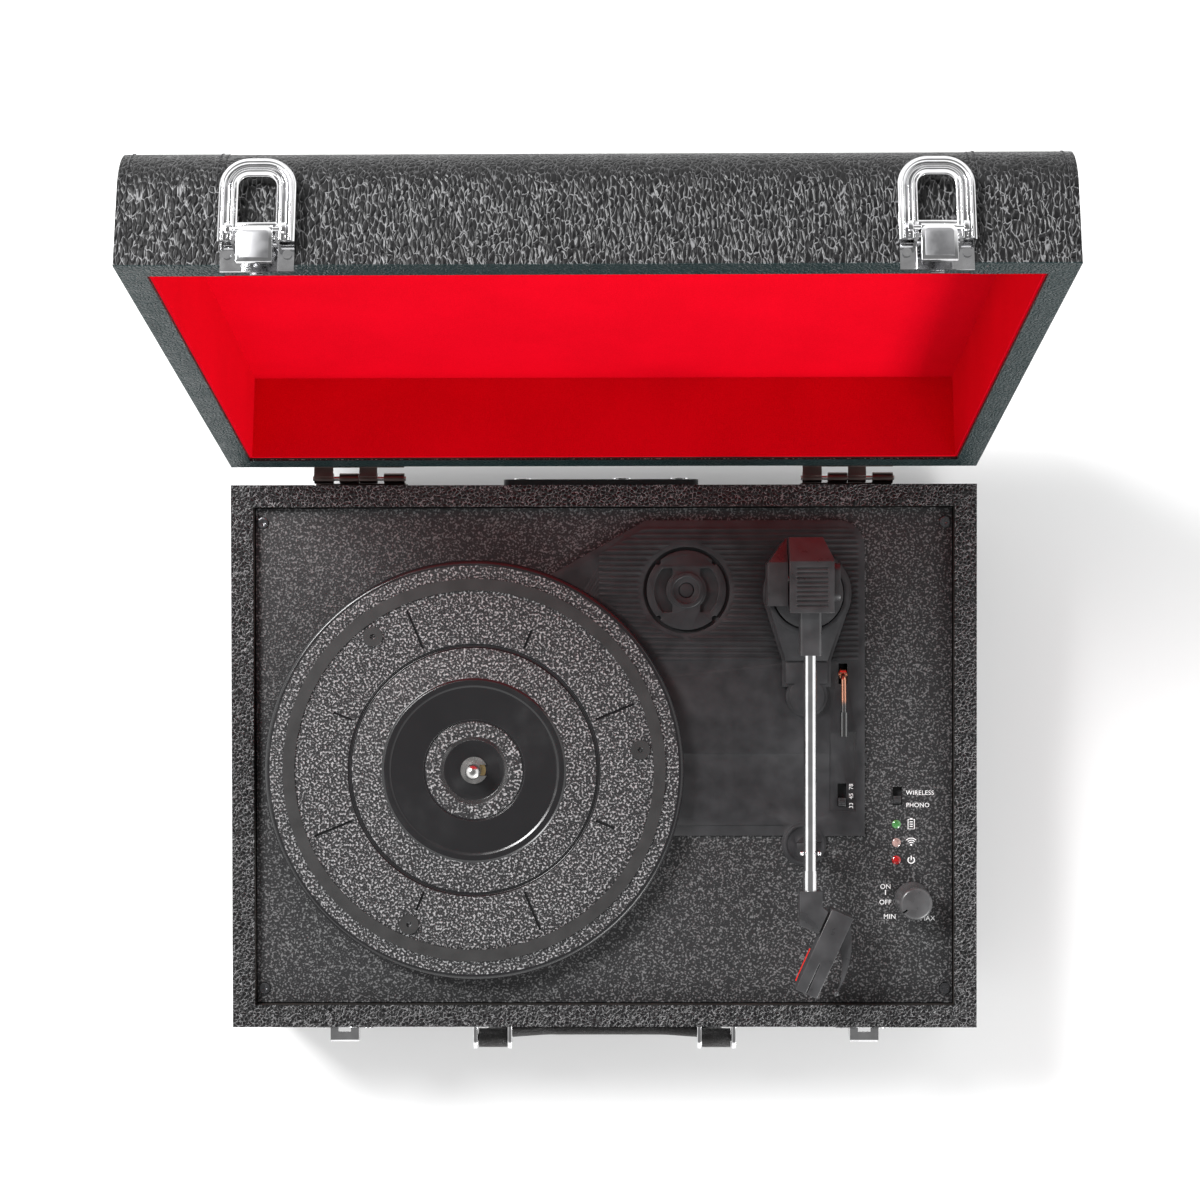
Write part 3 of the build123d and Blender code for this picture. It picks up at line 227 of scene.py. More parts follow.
def moulded(name, color, roughness, grain=0.5 * MM, depth=0.02 * MM, mottle=0.25, **sockets):
    """Moulded plastic: a faint spark-eroded texture and slight unevenness in tone."""
    material, tree, shader = new_material(name, color, roughness, **sockets)
    where = place(tree)
    tone = noise(tree, where, 9 * MM, 4.0)
    lighter = tuple(min(1.0, channel * (1 + mottle) + 0.002) for channel in color)
    darker = tuple(channel * (1 - mottle) for channel in color)
    drive(tree, shader, "Base Color", blend_colors(tree, spread(tree, tone, 0.3, 0.7), darker, lighter))
    drive(tree, shader, "Roughness", spread(tree, tone, 0.3, 0.7, roughness - 0.04, roughness + 0.06))
    bump(tree, shader, noise(tree, where, grain, 2.0), depth)
    return material


def metal(name, color, roughness, along=None, depth=0.004 * MM):
    """Metal with faint handling marks; brushed along an axis if one is given."""
    material, tree, shader = new_material(name, color, roughness, 1.0)
    stretch = [1.0, 1.0, 1.0]
    if along is not None:
        stretch[along] = 0.04
    line_size = 0.25 * MM if along is not None else 2.5 * MM
    lines = noise(tree, place(tree, stretch), line_size, 3.0)
    smears = noise(tree, place(tree), 6 * MM, 4.0)
    glossy, dull = max(0.03, roughness - 0.05), roughness + 0.08
    drive(tree, shader, "Roughness", spread(tree, smears, 0.35, 0.7, glossy, dull))
    bump(tree, shader, lines, depth)
    darker = tuple(channel * 0.86 for channel in color)
    drive(tree, shader, "Base Color", blend_colors(tree, spread(tree, smears, 0.35, 0.65), darker, color))
    return material


def flock(name, color, shade):
    """Flocked lining paper: short pile, with soft clouds where it has been brushed."""
    material, tree, shader = new_material(name, color, 0.9, Sheen_Weight=0.12, Sheen_Roughness=0.4)
    shader.inputs["Sheen Tint"].default_value = (1.0, 0.02, 0.03, 1)
    shader.inputs["Specular IOR Level"].default_value = 0.03
    where = place(tree)
    pile = noise(tree, where, 0.6 * MM, 3.0)
    clouds = noise(tree, where, 35 * MM, 3.0)
    pile_share = math_node(tree, "MULTIPLY", pile, 0.6)
    cloud_share = math_node(tree, "MULTIPLY", clouds, 0.4)
    mixed = math_node(tree, "ADD", pile_share, cloud_share)
    drive(tree, shader, "Base Color", blend_colors(tree, spread(tree, mixed, 0.35, 0.62), shade, color))
    bump(tree, shader, pile, 0.12 * MM)
    return material


def turned_finish(name):
    """Smooth dark plastic, finely turned, so its gloss fans out round the spindle."""
    material, tree, shader = new_material(name, (0.014, 0.014, 0.015), 0.2, Anisotropic=0.75)
    centred = vector_math(tree, "SUBTRACT", place(tree), (SPINDLE.x, SPINDLE.y, 0)).outputs[0]
    flat = vector_math(tree, "MULTIPLY", centred, (1, 1, 0)).outputs[0]
    radius = add(tree, "VectorMath", {0: flat}, operation="LENGTH").outputs["Value"]
    turn_pitch, turn_depth = 0.6 * MM, 0.006 * MM
    turns = math_node(tree, "SINE", math_node(tree, "MULTIPLY", radius, 2 * math.pi / turn_pitch))
    bump(tree, shader, turns, turn_depth)
    drive(tree, shader, "Tangent", add(tree, "Tangent", direction_type="RADIAL", axis="Z").outputs["Tangent"])
    smears = noise(tree, place(tree), 8 * MM, 3.0)
    drive(tree, shader, "Roughness", spread(tree, smears, 0.35, 0.7, 0.16, 0.26))
    return material


def lamp(name, color):
    """Tinted resin dome."""
    resin = {"Transmission_Weight": 0.25, "IOR": 1.5, "Coat_Weight": 0.6}
    material, tree, shader = new_material(name, color, 0.08, **resin)
    depth = noise(tree, place(tree), 0.8 * MM, 2.0)
    darker = tuple(channel * 0.45 for channel in color)
    drive(tree, shader, "Base Color", blend_colors(tree, spread(tree, depth, 0.35, 0.65), darker, color))
    return material


def timber(name):
    """Board stained black, with its grain just showing."""
    material, tree, shader = new_material(name, (0.02, 0.018, 0.016), 0.6)
    rings = noise(tree, place(tree, (0.08, 1.0, 1.0)), 2.0 * MM, 6.0, 0.6)
    dark, light = (0.012, 0.011, 0.010), (0.035, 0.03, 0.026)
    drive(tree, shader, "Base Color", blend_colors(tree, spread(tree, rings, 0.35, 0.7), dark, light))
    bump(tree, shader, rings, 0.05 * MM)
    return material


def lever_glint_finish(name):
    """Plated lever with a copper-toned painted highlight on its rear half."""
    material, tree, shader = new_material(name, (0.3, 0.3, 0.3), 0.28, 1.0)
    low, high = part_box("cue_lever")
    where = place(tree)
    along = add(tree, "SeparateXYZ", {"Vector": where}).outputs["Y"]
    edge = math_node(tree, "ADD", along, math_node(tree, "MULTIPLY", noise(tree, where, 3 * MM), 4 * MM))
    split = low.y + (high.y - low.y) * 0.52
    mask = spread(tree, edge, split, split + 3 * MM)
    # painted highlight: the copper tone on the rear half stands for a copper-coloured glint
    plating, copper = (0.16, 0.16, 0.16), (0.75, 0.36, 0.24)
    drive(tree, shader, "Base Color", blend_colors(tree, mask, plating, copper))
    return material


BLACK = (0.022, 0.022, 0.024)
LEATHER_BLACK = (0.004, 0.004, 0.0045)
# pale crease colour: painted highlight of light on the leatherette's pebbles
LEATHER_CREASE_HIGHLIGHT = (0.22, 0.22, 0.225)
LEATHER_GRAIN = (1.7 * MM, 0.32 * MM, 0.36)
LID_RIM_COLOR = (0.004, 0.016, 0.017)
# second colour of each pair: the paler flecks, partly real speckle and partly painted glints
DECK_SPECKLE_AND_GLINT = ((0.008, 0.008, 0.009), (0.15, 0.15, 0.152))
PLATTER_SPECKLE_AND_GLINT = ((0.010, 0.010, 0.011), (0.36, 0.36, 0.365))
# handle leather: its black, then the pale colour of its painted crease highlights
HANDLE_BLACK_AND_HIGHLIGHT = ((0.016, 0.015, 0.015), (0.06, 0.06, 0.06))
MATERIALS = {
    "case_wood": timber("case_wood"),
    "leatherette": leather("leatherette", LEATHER_BLACK, LEATHER_CREASE_HIGHLIGHT, *LEATHER_GRAIN),
    "handle_leather": leather("handle_leather", *HANDLE_BLACK_AND_HIGHLIGHT, 0.9 * MM, 0.12 * MM, 0.38),
    "lid_lining": flock("lid_lining", (0.70, 0.0005, 0.011), (0.60, 0.0004, 0.008)),
    "deck_board": speckled("deck_board", *DECK_SPECKLE_AND_GLINT, 0.95 * MM, 0.2 * MM, 0.5),
    "mechanism_plastic": moulded("mechanism_plastic", BLACK, 0.42),
    "arm_plastic": moulded("arm_plastic", (0.042, 0.042, 0.044), 0.3),
    "knob_plastic": moulded("knob_plastic", (0.068, 0.068, 0.07), 0.28, 0.35 * MM, 0.04 * MM),
    "platter_plastic": speckled("platter_plastic", *PLATTER_SPECKLE_AND_GLINT, 1.05 * MM, 0.42 * MM, 0.42),
    "soft_rubber": moulded("soft_rubber", (0.018, 0.018, 0.018), 0.6, 0.4 * MM, 0.03 * MM),
    "bearing_brass": metal("bearing_brass", (0.78, 0.58, 0.28), 0.28, 0),
    "plain_steel": metal("plain_steel", (0.62, 0.61, 0.6), 0.25, 2),
    "black_screw": metal("black_screw", (0.2, 0.2, 0.21), 0.25),
    "bright_chrome": metal("bright_chrome", (0.86, 0.86, 0.87), 0.07),
    "dark_bronze": metal("dark_bronze", (0.10, 0.075, 0.07), 0.35, 0),
    "weight_iron": metal("weight_iron", (0.25, 0.25, 0.26), 0.5, None, 0.05 * MM),
    "stylus_red": moulded("stylus_red", (0.72, 0.02, 0.015), 0.22),
    "lamp_green": lamp("lamp_green", (0.10, 0.38, 0.10)),
    "lamp_amber": lamp("lamp_amber", (0.62, 0.40, 0.36)),
    "lamp_red": lamp("lamp_red", (0.62, 0.01, 0.01)),
    "board_green": moulded("board_green", (0.03, 0.2, 0.08), 0.3),
    "cell_sleeve": moulded("cell_sleeve", (0.05, 0.14, 0.4), 0.3),
    "speaker_metal": metal("speaker_metal", (0.09, 0.09, 0.095), 0.45),
    "cone_paper": moulded("cone_paper", (0.03, 0.03, 0.03), 0.8, 0.3 * MM, 0.08 * MM),
}
PRINT = moulded("print_white", (0.86, 0.86, 0.86), 0.5, 0.2 * MM, 0.004 * MM, 0.05)
THREAD = moulded("thread_black", (0.03, 0.03, 0.032), 0.55, 0.15 * MM, 0.05 * MM)
LID_LEATHER = leather("lid_leatherette", LEATHER_BLACK, LEATHER_CREASE_HIGHLIGHT, *LEATHER_GRAIN, LID_RIM_COLOR)
TURNED = turned_finish("platter_turned")
MATT_STEEL = metal("matt_steel", (0.34, 0.34, 0.35), 0.38, 1)

for node, obj in NODES.items():
    obj.data.materials.clear()
    obj.data.materials.append(MATERIALS[SLOT_OF[node]])
NODES["cue_lever"].data.materials[0] = lever_glint_finish("cue_lever_painted_glint")
NODES["lid_cover"].data.materials[0] = LID_LEATHER


# --- mesh helpers -----------------------------------------------------------------------------
def link(obj):
    """Put an object in the scene."""
    bpy.context.scene.collection.objects.link(obj)


def mesh_of(name, shape, even_normals=True):
    """Turn a bmesh into a mesh and free it."""
    if even_normals:
        bmesh.ops.recalc_face_normals(shape, faces=shape.faces)
    mesh = bpy.data.meshes.new(name)
    shape.to_mesh(mesh)
    shape.free()
    return mesh


def modified_mesh(obj):
    """Mesh of an object with its modifiers applied."""
    bpy.context.view_layer.update()
    return bpy.data.meshes.new_from_object(obj.evaluated_get(bpy.context.evaluated_depsgraph_get()))


def finish_piece(obj, body):
    """Link a new piece and let it move with its body."""
    link(obj)
    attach(obj, body)
    return obj


def bevel_edges(piece, width):
    """Break a piece's sharp edges with a small radius, applied to its mesh."""
    modifier = piece.modifiers.new("edges", "BEVEL")
    modifier.width = width
    modifier.segments = 2
    modifier.limit_method = "ANGLE"
    modifier.angle_limit = math.radians(32)
    result = modified_mesh(piece)
    piece.modifiers.clear()
    piece.data = result
    result.shade_smooth()
    result.set_sharp_from_angle(angle=math.radians(40))


# --- softened copies of the hard-edged nodes --------------------------------------------------
def softened(node, width):
    """A piece of the node's own shape, with its sharp edges broken."""
    mesh = NODES[node].data.copy()
    cleaned = bmesh.new()
    cleaned.from_mesh(mesh)
    bmesh.ops.remove_doubles(cleaned, verts=cleaned.verts, dist=0.004 * MM)
    flat_within = math.radians(1.0)
    bmesh.ops.dissolve_limit(cleaned, angle_limit=flat_within, verts=cleaned.verts, edges=cleaned.edges)
    cleaned.to_mesh(mesh)
    cleaned.free()
    piece = finish_piece(bpy.data.objects.new(f"{node}_soft", mesh), BODY_OF[node])
    bevel_edges(piece, width)
    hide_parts(node)


SOFT_EDGES = {
    0.5 * MM: ["volume_knob", "handle_grip", "rear_panel"],
    0.35 * MM: ["tonearm_block", "tonearm_yoke", "cartridge", "headshell", "arm_rest_post",
                "tonearm_pedestal"],
    0.25 * MM: ["mechanism_plate", "finger_lift", "adapter_45", "latch_keepers", "handle_mounts",
                "hinge_base_leaves", "hinge_lid_leaves", "feet", "stylus"],
    0.15 * MM: ["case_screws", "speed_switch_slider", "source_switch_slider", "speaker_grilles",
                "rear_jacks"],
}
for edge_width, names in SOFT_EDGES.items():
    for name in names:
        softened(name, edge_width)


# --- lathe-turned platter ---------------------------------------------------------------------
CORNER_STEPS = 4
RING_SEGMENTS = 192
PLATTER_CORNER = 0.5 * MM
TICKS = 8
TICK_WIDTH = 1.2 * MM
TICK_DEPTH = 0.8 * MM
TICK_START = 62.5 * MM
TICK_ENDS = (82.0 * MM, 72.0 * MM)
FIELD_BANDS = ((43.9 * MM, 96.9 * MM), (16.1 * MM, 23.0 * MM))


def rounded(points, radius):
    """Corners of an open outline replaced by small arcs."""
    result = [Vector(points[0])]
    for before, corner, after in zip(points, points[1:], points[2:]):
        corner, a, b = Vector(corner), Vector(before) - Vector(corner), Vector(after) - Vector(corner)
        reach = min(radius, a.length * 0.45, b.length * 0.45)
        start, end = corner + a.normalized() * reach, corner + b.normalized() * reach
        for k in range(CORNER_STEPS + 1):
            t = k / CORNER_STEPS
            result.append(start * (1 - t) ** 2 + corner * 2 * t * (1 - t) + end * t * t)
    return result + [Vector(points[-1])]


def turned_mesh(name, outline):
    """Closed ring of the outline's radius and height about the spindle."""
    shape = bmesh.new()
    rows = []
    for k in range(RING_SEGMENTS):
        turn = 2 * math.pi * k / RING_SEGMENTS
        c, s = math.cos(turn), math.sin(turn)
        rows.append([shape.verts.new((SPINDLE.x + r * c, SPINDLE.y + r * s, z)) for r, z in outline])
    for a, b in zip(rows, rows[1:] + rows[:1]):
        for j in range(len(outline)):
            following = (j + 1) % len(outline)
            shape.faces.new((a[j], b[j], b[following], a[following]))
    return mesh_of(name, shape)


def tick_cutter():
    """Long and short radial marks, as one mesh that is cut from the platter's field."""
    shape = bmesh.new()
    for index in range(TICKS):
        end = TICK_ENDS[index % 2]
        made = bmesh.ops.create_cube(shape, size=1.0)["verts"]
        stretch = Matrix.Diagonal((end - TICK_START, TICK_WIDTH, 2 * TICK_DEPTH, 1))
        shift = Matrix.Translation(((TICK_START + end) / 2, 0, 0))
        turn = Matrix.Rotation(math.radians((index + 0.5) * 360 / TICKS), 4, "Z")
        bmesh.ops.transform(shape, matrix=turn @ shift @ stretch, verts=made)
    mesh = mesh_of("ticks", shape, False)
    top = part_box("platter_rubber")[0].z
    mesh.transform(Matrix.Translation((SPINDLE.x, SPINDLE.y, top)))
    return mesh


def make_platter():
    """Platter turned about the spindle: belt ring and skirt below, stepped and dished above."""
    low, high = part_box("platter")
    rim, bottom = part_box("platter_rubber")[0].z, low.z
    edge = high.x - SPINDLE.x
    web = rim - 2.2 * MM
    ring_end = bottom + 0.6 * MM
    below = [(5.5, web), (62.5, web), (62.5, ring_end), (65, ring_end), (65, web), (97, web), (97, bottom)]
    outline = [(r * MM, z) for r, z in below] + [(edge, bottom), (edge, rim - 1.4 * MM)]
    field = [(98.4, -0.2), (97.0, 0), (60.0, 0), (59.6, -0.9), (58.4, -0.9), (58.0, 0), (43.8, 0)]
    raised = [(42.8, 0.8), (40.4, 0.8), (39.2, 0.2), (24.0, 0.2), (23.7, -0.4), (23.2, -0.4), (22.9, 0.2)]
    dish = [(16.2, 0.2), (14.4, -1.2), (12.0, -1.6), (5.5, -1.6)]
    outline += [(r * MM, rim + z * MM) for r, z in field + raised + dish]
    mesh = turned_mesh("platter", rounded(outline, PLATTER_CORNER))
    piece = bpy.data.objects.new("platter_turned_plate", mesh)
    finish_piece(piece, "platter")
    cutter = bpy.data.objects.new("ticks", tick_cutter())
    link(cutter)
    cut = piece.modifiers.new("ticks", "BOOLEAN")
    cut.operation = "DIFFERENCE"
    cut.object = cutter
    mesh = modified_mesh(piece)
    piece.modifiers.clear()
    piece.data = mesh
    bpy.data.objects.remove(cutter)
    mesh.materials.clear()
    for material in (MATERIALS["platter_plastic"], TURNED):
        mesh.materials.append(material)
    for face in mesh.polygons:
        radius = math.hypot(face.center.x - SPINDLE.x, face.center.y - SPINDLE.y)
        in_band = any(inner < radius < outer for inner, outer in FIELD_BANDS)
        on_top = face.center.z > rim - 0.15 * MM and face.normal.z > 0.5
        face.material_index = 0 if in_band and on_top else 1
    mesh.shade_smooth()
    mesh.set_sharp_from_angle(angle=math.radians(35))
    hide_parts("platter")


make_platter()


# --- latches ----------------------------------------------------------------------------------
LATCH_X = {"left": -124.3 * MM, "right": 124.3 * MM}
FRAME_BACK = -134.4 * MM
FRAME_W = 7.2 * MM
RIDGE = 1.55 * MM
RIDGE_SAMPLES = 25
FRAME_CORNER_STEPS = 12
TAB_CORNER_STEPS = 8
TAB_HALF = 6.6 * MM
ROD_Y = -137.0 * MM
ROD_Z = RIM_Z + 11.6 * MM
LATCH_EDGE = 0.22 * MM


def open_lid(mesh):
    """Turn a mesh drawn on the shut lid to where the lid stands open."""
    swing = Matrix.Rotation(-LID_OPEN, 4, "X")
    mesh.transform(Matrix.Translation(HINGE) @ swing @ Matrix.Translation(-HINGE))


def latch_path():
    """The frame's inner edge, up one leg, over the top and down the other, with outward directions."""
    half, radius = 7.0 * MM, 4.0 * MM
    foot, knee, corner = (RIM_Z + height * MM for height in (7.6, 19.6, 29.0))
    left, right = Vector((-1, 0, 0)), Vector((1, 0, 0))
    steps = [(Vector((-half, 0, foot)), left), (Vector((-half, 0, knee)), left)]
    for centre_x, start in ((-half + radius, 180), (half - radius, 90)):
        for k in range(FRAME_CORNER_STEPS + 1):
            turn = math.radians(start - 90 * k / FRAME_CORNER_STEPS)
            out = Vector((math.cos(turn), 0, math.sin(turn)))
            steps.append((Vector((centre_x, 0, corner)) + out * radius, out))
    return steps + [(Vector((half, 0, knee)), right), (Vector((half, 0, foot)), right)]


def add_block(shape, low, high):
    """Box between two corners."""
    made = bmesh.ops.create_cube(shape, size=1.0)["verts"]
    low, high = Vector(low), Vector(high)
    fit = Matrix.Translation((low + high) / 2) @ Matrix.Diagonal((*(high - low), 1))
    bmesh.ops.transform(shape, matrix=fit, verts=made)


def add_rod(shape, x, radius, half):
    """Rod across the latch, on its hinge line."""
    sizes = {"radius1": radius, "radius2": radius, "depth": 2 * half}
    made = bmesh.ops.create_cone(shape, cap_ends=True, segments=32, **sizes)
    turn = Matrix.Translation((x, ROD_Y, ROD_Z)) @ Matrix.Rotation(math.radians(90), 4, "Y")
    bmesh.ops.transform(shape, matrix=turn, verts=made["verts"])


def latch_lever(side):
    """Pressed frame: two rounded ridges with a groove between them."""
    x = LATCH_X[side]
    shape = bmesh.new()
    rows = []
    for point, out in latch_path():
        row = []
        for k in range(RIDGE_SAMPLES):
            u = k / (RIDGE_SAMPLES - 1)
            ridge = RIDGE * math.cos(2 * math.pi * (u - 0.25)) ** 2
            place_at = point + out * FRAME_W * u + Vector((x, FRAME_BACK - 0.8 * MM - ridge, 0))
            row.append(shape.verts.new(place_at))
        for u in (1.0, 0.0):
            row.append(shape.verts.new(point + out * FRAME_W * u + Vector((x, FRAME_BACK, 0))))
        rows.append(row)
    for a, b in zip(rows, rows[1:]):
        for k in range(len(a)):
            following = (k + 1) % len(a)
            shape.faces.new((a[k], a[following], b[following], b[k]))
    shape.faces.new(rows[0])
    shape.faces.new(rows[-1][::-1])
    bar_low = (x - 7.2 * MM, -135.4 * MM, RIM_Z + 13.6 * MM)
    bar_high = (x + 7.2 * MM, -134.5 * MM, RIM_Z + 15.0 * MM)
    add_block(shape, bar_low, bar_high)
    add_rod(shape, x, 0.8 * MM, 9.6 * MM)
    for ear_x in (x - 11.2 * MM, x + 9.2 * MM):
        ear_low = (ear_x, -138.0 * MM, ROD_Z - 1.4 * MM)
        add_block(shape, ear_low, (ear_x + 2.0 * MM, -134.6 * MM, ROD_Z + 2.2 * MM))
    store_latch(shape, f"latch_frame_{side}", f"latch_lever_{side}", MATERIALS["bright_chrome"])


def tab_outline(x, half, low, high, radius):
    """Plate outline with its two upper corners rounded."""
    points = [Vector((x - half, 0, low)), Vector((x + half, 0, low))]
    for centre, start in ((x + half - radius, 0), (x - half + radius, 90)):
        for k in range(TAB_CORNER_STEPS + 1):
            turn = math.radians(start + 90 * k / TAB_CORNER_STEPS)
            out = Vector((math.cos(turn), 0, math.sin(turn)))
            points.append(Vector((centre, 0, high - radius)) + out * radius)
    return points


def add_plate(shape, outline, y_back, y_front):
    """Plate of an outline, between two depths."""
    back = [shape.verts.new(p + Vector((0, y_back, 0))) for p in outline]
    front = [shape.verts.new(p + Vector((0, y_front, 0))) for p in outline]
    shape.faces.new(back)
    shape.faces.new(front[::-1])
    for k in range(len(outline)):
        following = (k + 1) % len(outline)
        shape.faces.new((back[k], front[k], front[following], back[following]))


def latch_hook(side):
    """Hook plate with a bright rolled border, its toe turned in, and a knuckle on the lever's rod."""
    x = LATCH_X[side]
    low, high = RIM_Z - 1.5 * MM, RIM_Z + 11.9 * MM
    shape = bmesh.new()
    add_plate(shape, tab_outline(x, TAB_HALF, low, high, 2.6 * MM), -137.5 * MM, -138.6 * MM)
    add_block(shape, (x - TAB_HALF, -138.2 * MM, low), (x + TAB_HALF, -136.0 * MM, low + 1.1 * MM))
    add_rod(shape, x, 1.5 * MM, 6.4 * MM)
    store_latch(shape, f"latch_tab_{side}", f"latch_hook_{side}", MATERIALS["bright_chrome"])
    face = bmesh.new()
    inset = tab_outline(x, TAB_HALF - 1.3 * MM, low + 1.5 * MM, high - 1.3 * MM, 1.6 * MM)
    add_plate(face, inset, -138.4 * MM, -138.72 * MM)
    store_latch(face, f"latch_tab_face_{side}", f"latch_hook_{side}", MATT_STEEL, False)


def store_latch(shape, name, node, material, replaces=True):
    """Turn a latch piece to the open lid and finish it, in place of a node if it replaces one."""
    mesh = mesh_of(name, shape)
    open_lid(mesh)
    mesh.materials.append(material)
    piece = finish_piece(bpy.data.objects.new(name, mesh), BODY_OF[node])
    bevel_edges(piece, LATCH_EDGE)
    if replaces:
        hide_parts(node)


for latch_side in LATCH_X:
    latch_lever(latch_side)
    latch_hook(latch_side)


# --- lettering and signs ----------------------------------------------------------------------
PRINT_H = 0.04 * MM
PRINT_Z = DECK_TOP + 0.02 * MM
CAPITAL = 0.69


def lettering(name, text, x, y, height, z=PRINT_Z, align="LEFT", turn=0.0):
    """Printed words standing a hair above the surface."""
    curve = bpy.data.curves.new(name, "FONT")
    curve.body = text
    curve.size = height / CAPITAL
    curve.align_x = align
    curve.align_y = "CENTER"
    curve.extrude = PRINT_H / 2
    curve.offset = height * 0.004
    curve.space_character = 1.06
    curve.materials.append(PRINT)
    source = bpy.data.objects.new(name + "_source", curve)
    link(source)
    mesh = modified_mesh(source)
    bpy.data.objects.remove(source)
    mesh.transform(Matrix.Translation((x, y, z)) @ Matrix.Rotation(turn, 4, "Z"))
    return finish_piece(bpy.data.objects.new(name, mesh), "base")


def stroke(shape, points, width, closed=False):
    """Add a flat printed line along points to a bmesh."""
    count = len(points)
    rows = []
    for index, point in enumerate(points):
        before = points[index - 1] if closed or index else point
        after = points[(index + 1) % count] if closed or index < count - 1 else point
        side = (after - before).normalized().cross(Vector((0, 0, 1))) * width / 2
        corners = (point - side, point + side)
        lift = Vector((0, 0, PRINT_H))
        rows.append([shape.verts.new(c) for c in (*corners, corners[1] + lift, corners[0] + lift)])
    last = count if closed else count - 1
    for index in range(last):
        a, b = rows[index], rows[(index + 1) % count]
        for k in range(4):
            shape.faces.new((a[k], a[(k + 1) % 4], b[(k + 1) % 4], b[k]))
    if not closed:
        shape.faces.new(rows[0])
        shape.faces.new(rows[-1][::-1])


def arc(x, y, radius, start, end, steps=20):
    """Points of a printed arc, from a start to an end angle in degrees."""
    turns = [math.radians(start + (end - start) * k / steps) for k in range(steps + 1)]
    return [Vector((x + radius * math.cos(t), y + radius * math.sin(t), PRINT_Z)) for t in turns]


def line(*points):
    """Points of a printed line."""
    return [Vector((x, y, PRINT_Z)) for x, y in points]


def sign(name, strokes):
    """A printed sign made of lines: (points, width, closed)."""
    shape = bmesh.new()
    for points, width, closed in strokes:
        stroke(shape, points, width, closed)
    mesh = mesh_of(name, shape)
    mesh.materials.append(PRINT)
    return finish_piece(bpy.data.objects.new(name, mesh), "base")


def printed_panel():
    """Words and generic signs beside the controls."""
    source = middle("source_switch_slider")
    words_x, switch_word, knob_word = source.x + 4.1 * MM, 2.05 * MM, 2.2 * MM
    lettering("word_wireless", "WIRELESS", words_x, source.y + 3.4 * MM, switch_word)
    lettering("word_phono", "PHONO", words_x, source.y - 2.5 * MM, switch_word)
    lettering("word_on", "ON", 134.7 * MM, KNOB.y + 6.0 * MM, knob_word, align="CENTER")
    lettering("word_off", "OFF", 134.6 * MM, KNOB.y - 1.5 * MM, knob_word, align="CENTER")
    lettering("word_min", "MIN", 136.7 * MM, KNOB.y - 8.4 * MM, knob_word, align="CENTER")
    lettering("word_max", "MAX", 158.4 * MM, KNOB.y - 9.2 * MM, knob_word, align="RIGHT")
    bar_x, bar_y = 134.7 * MM, KNOB.y + 2.1 * MM
    sign("bar_on_off", [(line((bar_x, bar_y), (bar_x, bar_y + 2.4 * MM)), 0.5 * MM, False)])
    x = 147.0 * MM
    y = middle("led_green").y
    w, h = 1.5 * MM, 2.3 * MM
    body = line((x - w, y - h), (x + w, y - h), (x + w, y + h), (x - w, y + h))
    bars = [(w * 0.5, k * MM) for k in (-1.1, 0, 1.1)] + [(0.6 * MM, h + 0.35 * MM)]
    bars = [(line((x - half, y + up), (x + half, y + up)), 0.45 * MM, False) for half, up in bars]
    sign("sign_battery", [(body, 0.4 * MM, True), *bars])
    y = middle("led_amber").y - 1.2 * MM
    waves = [(arc(x, y, r * MM, 45, 135), 0.42 * MM, False) for r in (1.3, 2.3, 3.3)]
    sign("sign_wireless", [*waves, (arc(x, y + 0.1 * MM, 0.25 * MM, 0, 342, 19), 0.45 * MM, True)])
    y = middle("led_red").y
    sign("sign_power", [(arc(x, y, 1.55 * MM, 125, 415, 30), 0.5 * MM, False),
                        (line((x, y), (x, y + 2.1 * MM)), 0.5 * MM, False)])
    speed = middle("speed_switch_slider")
    plate_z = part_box("mechanism_plate")[1].z - 1.38 * MM
    for text, offset in (("33", -1.6), ("45", 2.9), ("78", 7.4)):
        lettering(f"speed_{text}", text, speed.x + 4.3 * MM, speed.y + offset * MM, 1.9 * MM, plate_z,
                  "CENTER", math.radians(90))


printed_panel()


# --- stitching --------------------------------------------------------------------------------
STITCH = 2.6 * MM
STITCH_STEP = 3.5 * MM
THREAD_R = 0.26 * MM
LID_TOP = RIM_Z + 51.5 * MM
EDGE_R = 20 * MM
PATH_STEP = 0.4 * MM
EDGE_STEPS = 80
THREAD_RINGS = 7
THREAD_SIDES = 8


def case_path(z_rim, z_panel):
    """Points and outward normals round the case's section, from the front rim over the panel."""
    up = 1 if z_panel > z_rim else -1
    corner_z = z_panel - up * EDGE_R
    steps = []
    length = abs(corner_z - z_rim)
    wall_count = int(length / PATH_STEP)
    for k in range(wall_count):
        steps.append((Vector((0, -HALF_D, z_rim + up * length * k / wall_count)), Vector((0, -1, 0))))
    for k in range(EDGE_STEPS):
        t = math.pi / 2 * k / EDGE_STEPS
        normal = Vector((0, -math.cos(t), up * math.sin(t)))
        steps.append((Vector((0, -HALF_D + EDGE_R, corner_z)) + normal * EDGE_R, normal))
    flat = 2 * (HALF_D - EDGE_R)
    flat_count = int(flat / PATH_STEP)
    for k in range(flat_count):
        steps.append((Vector((0, -HALF_D + EDGE_R + flat * k / flat_count, z_panel)), Vector((0, 0, up))))
    for point, normal in reversed(steps[:wall_count + EDGE_STEPS]):
        steps.append((Vector((0, -point.y, point.z)), Vector((0, -normal.y, normal.z))))
    return steps


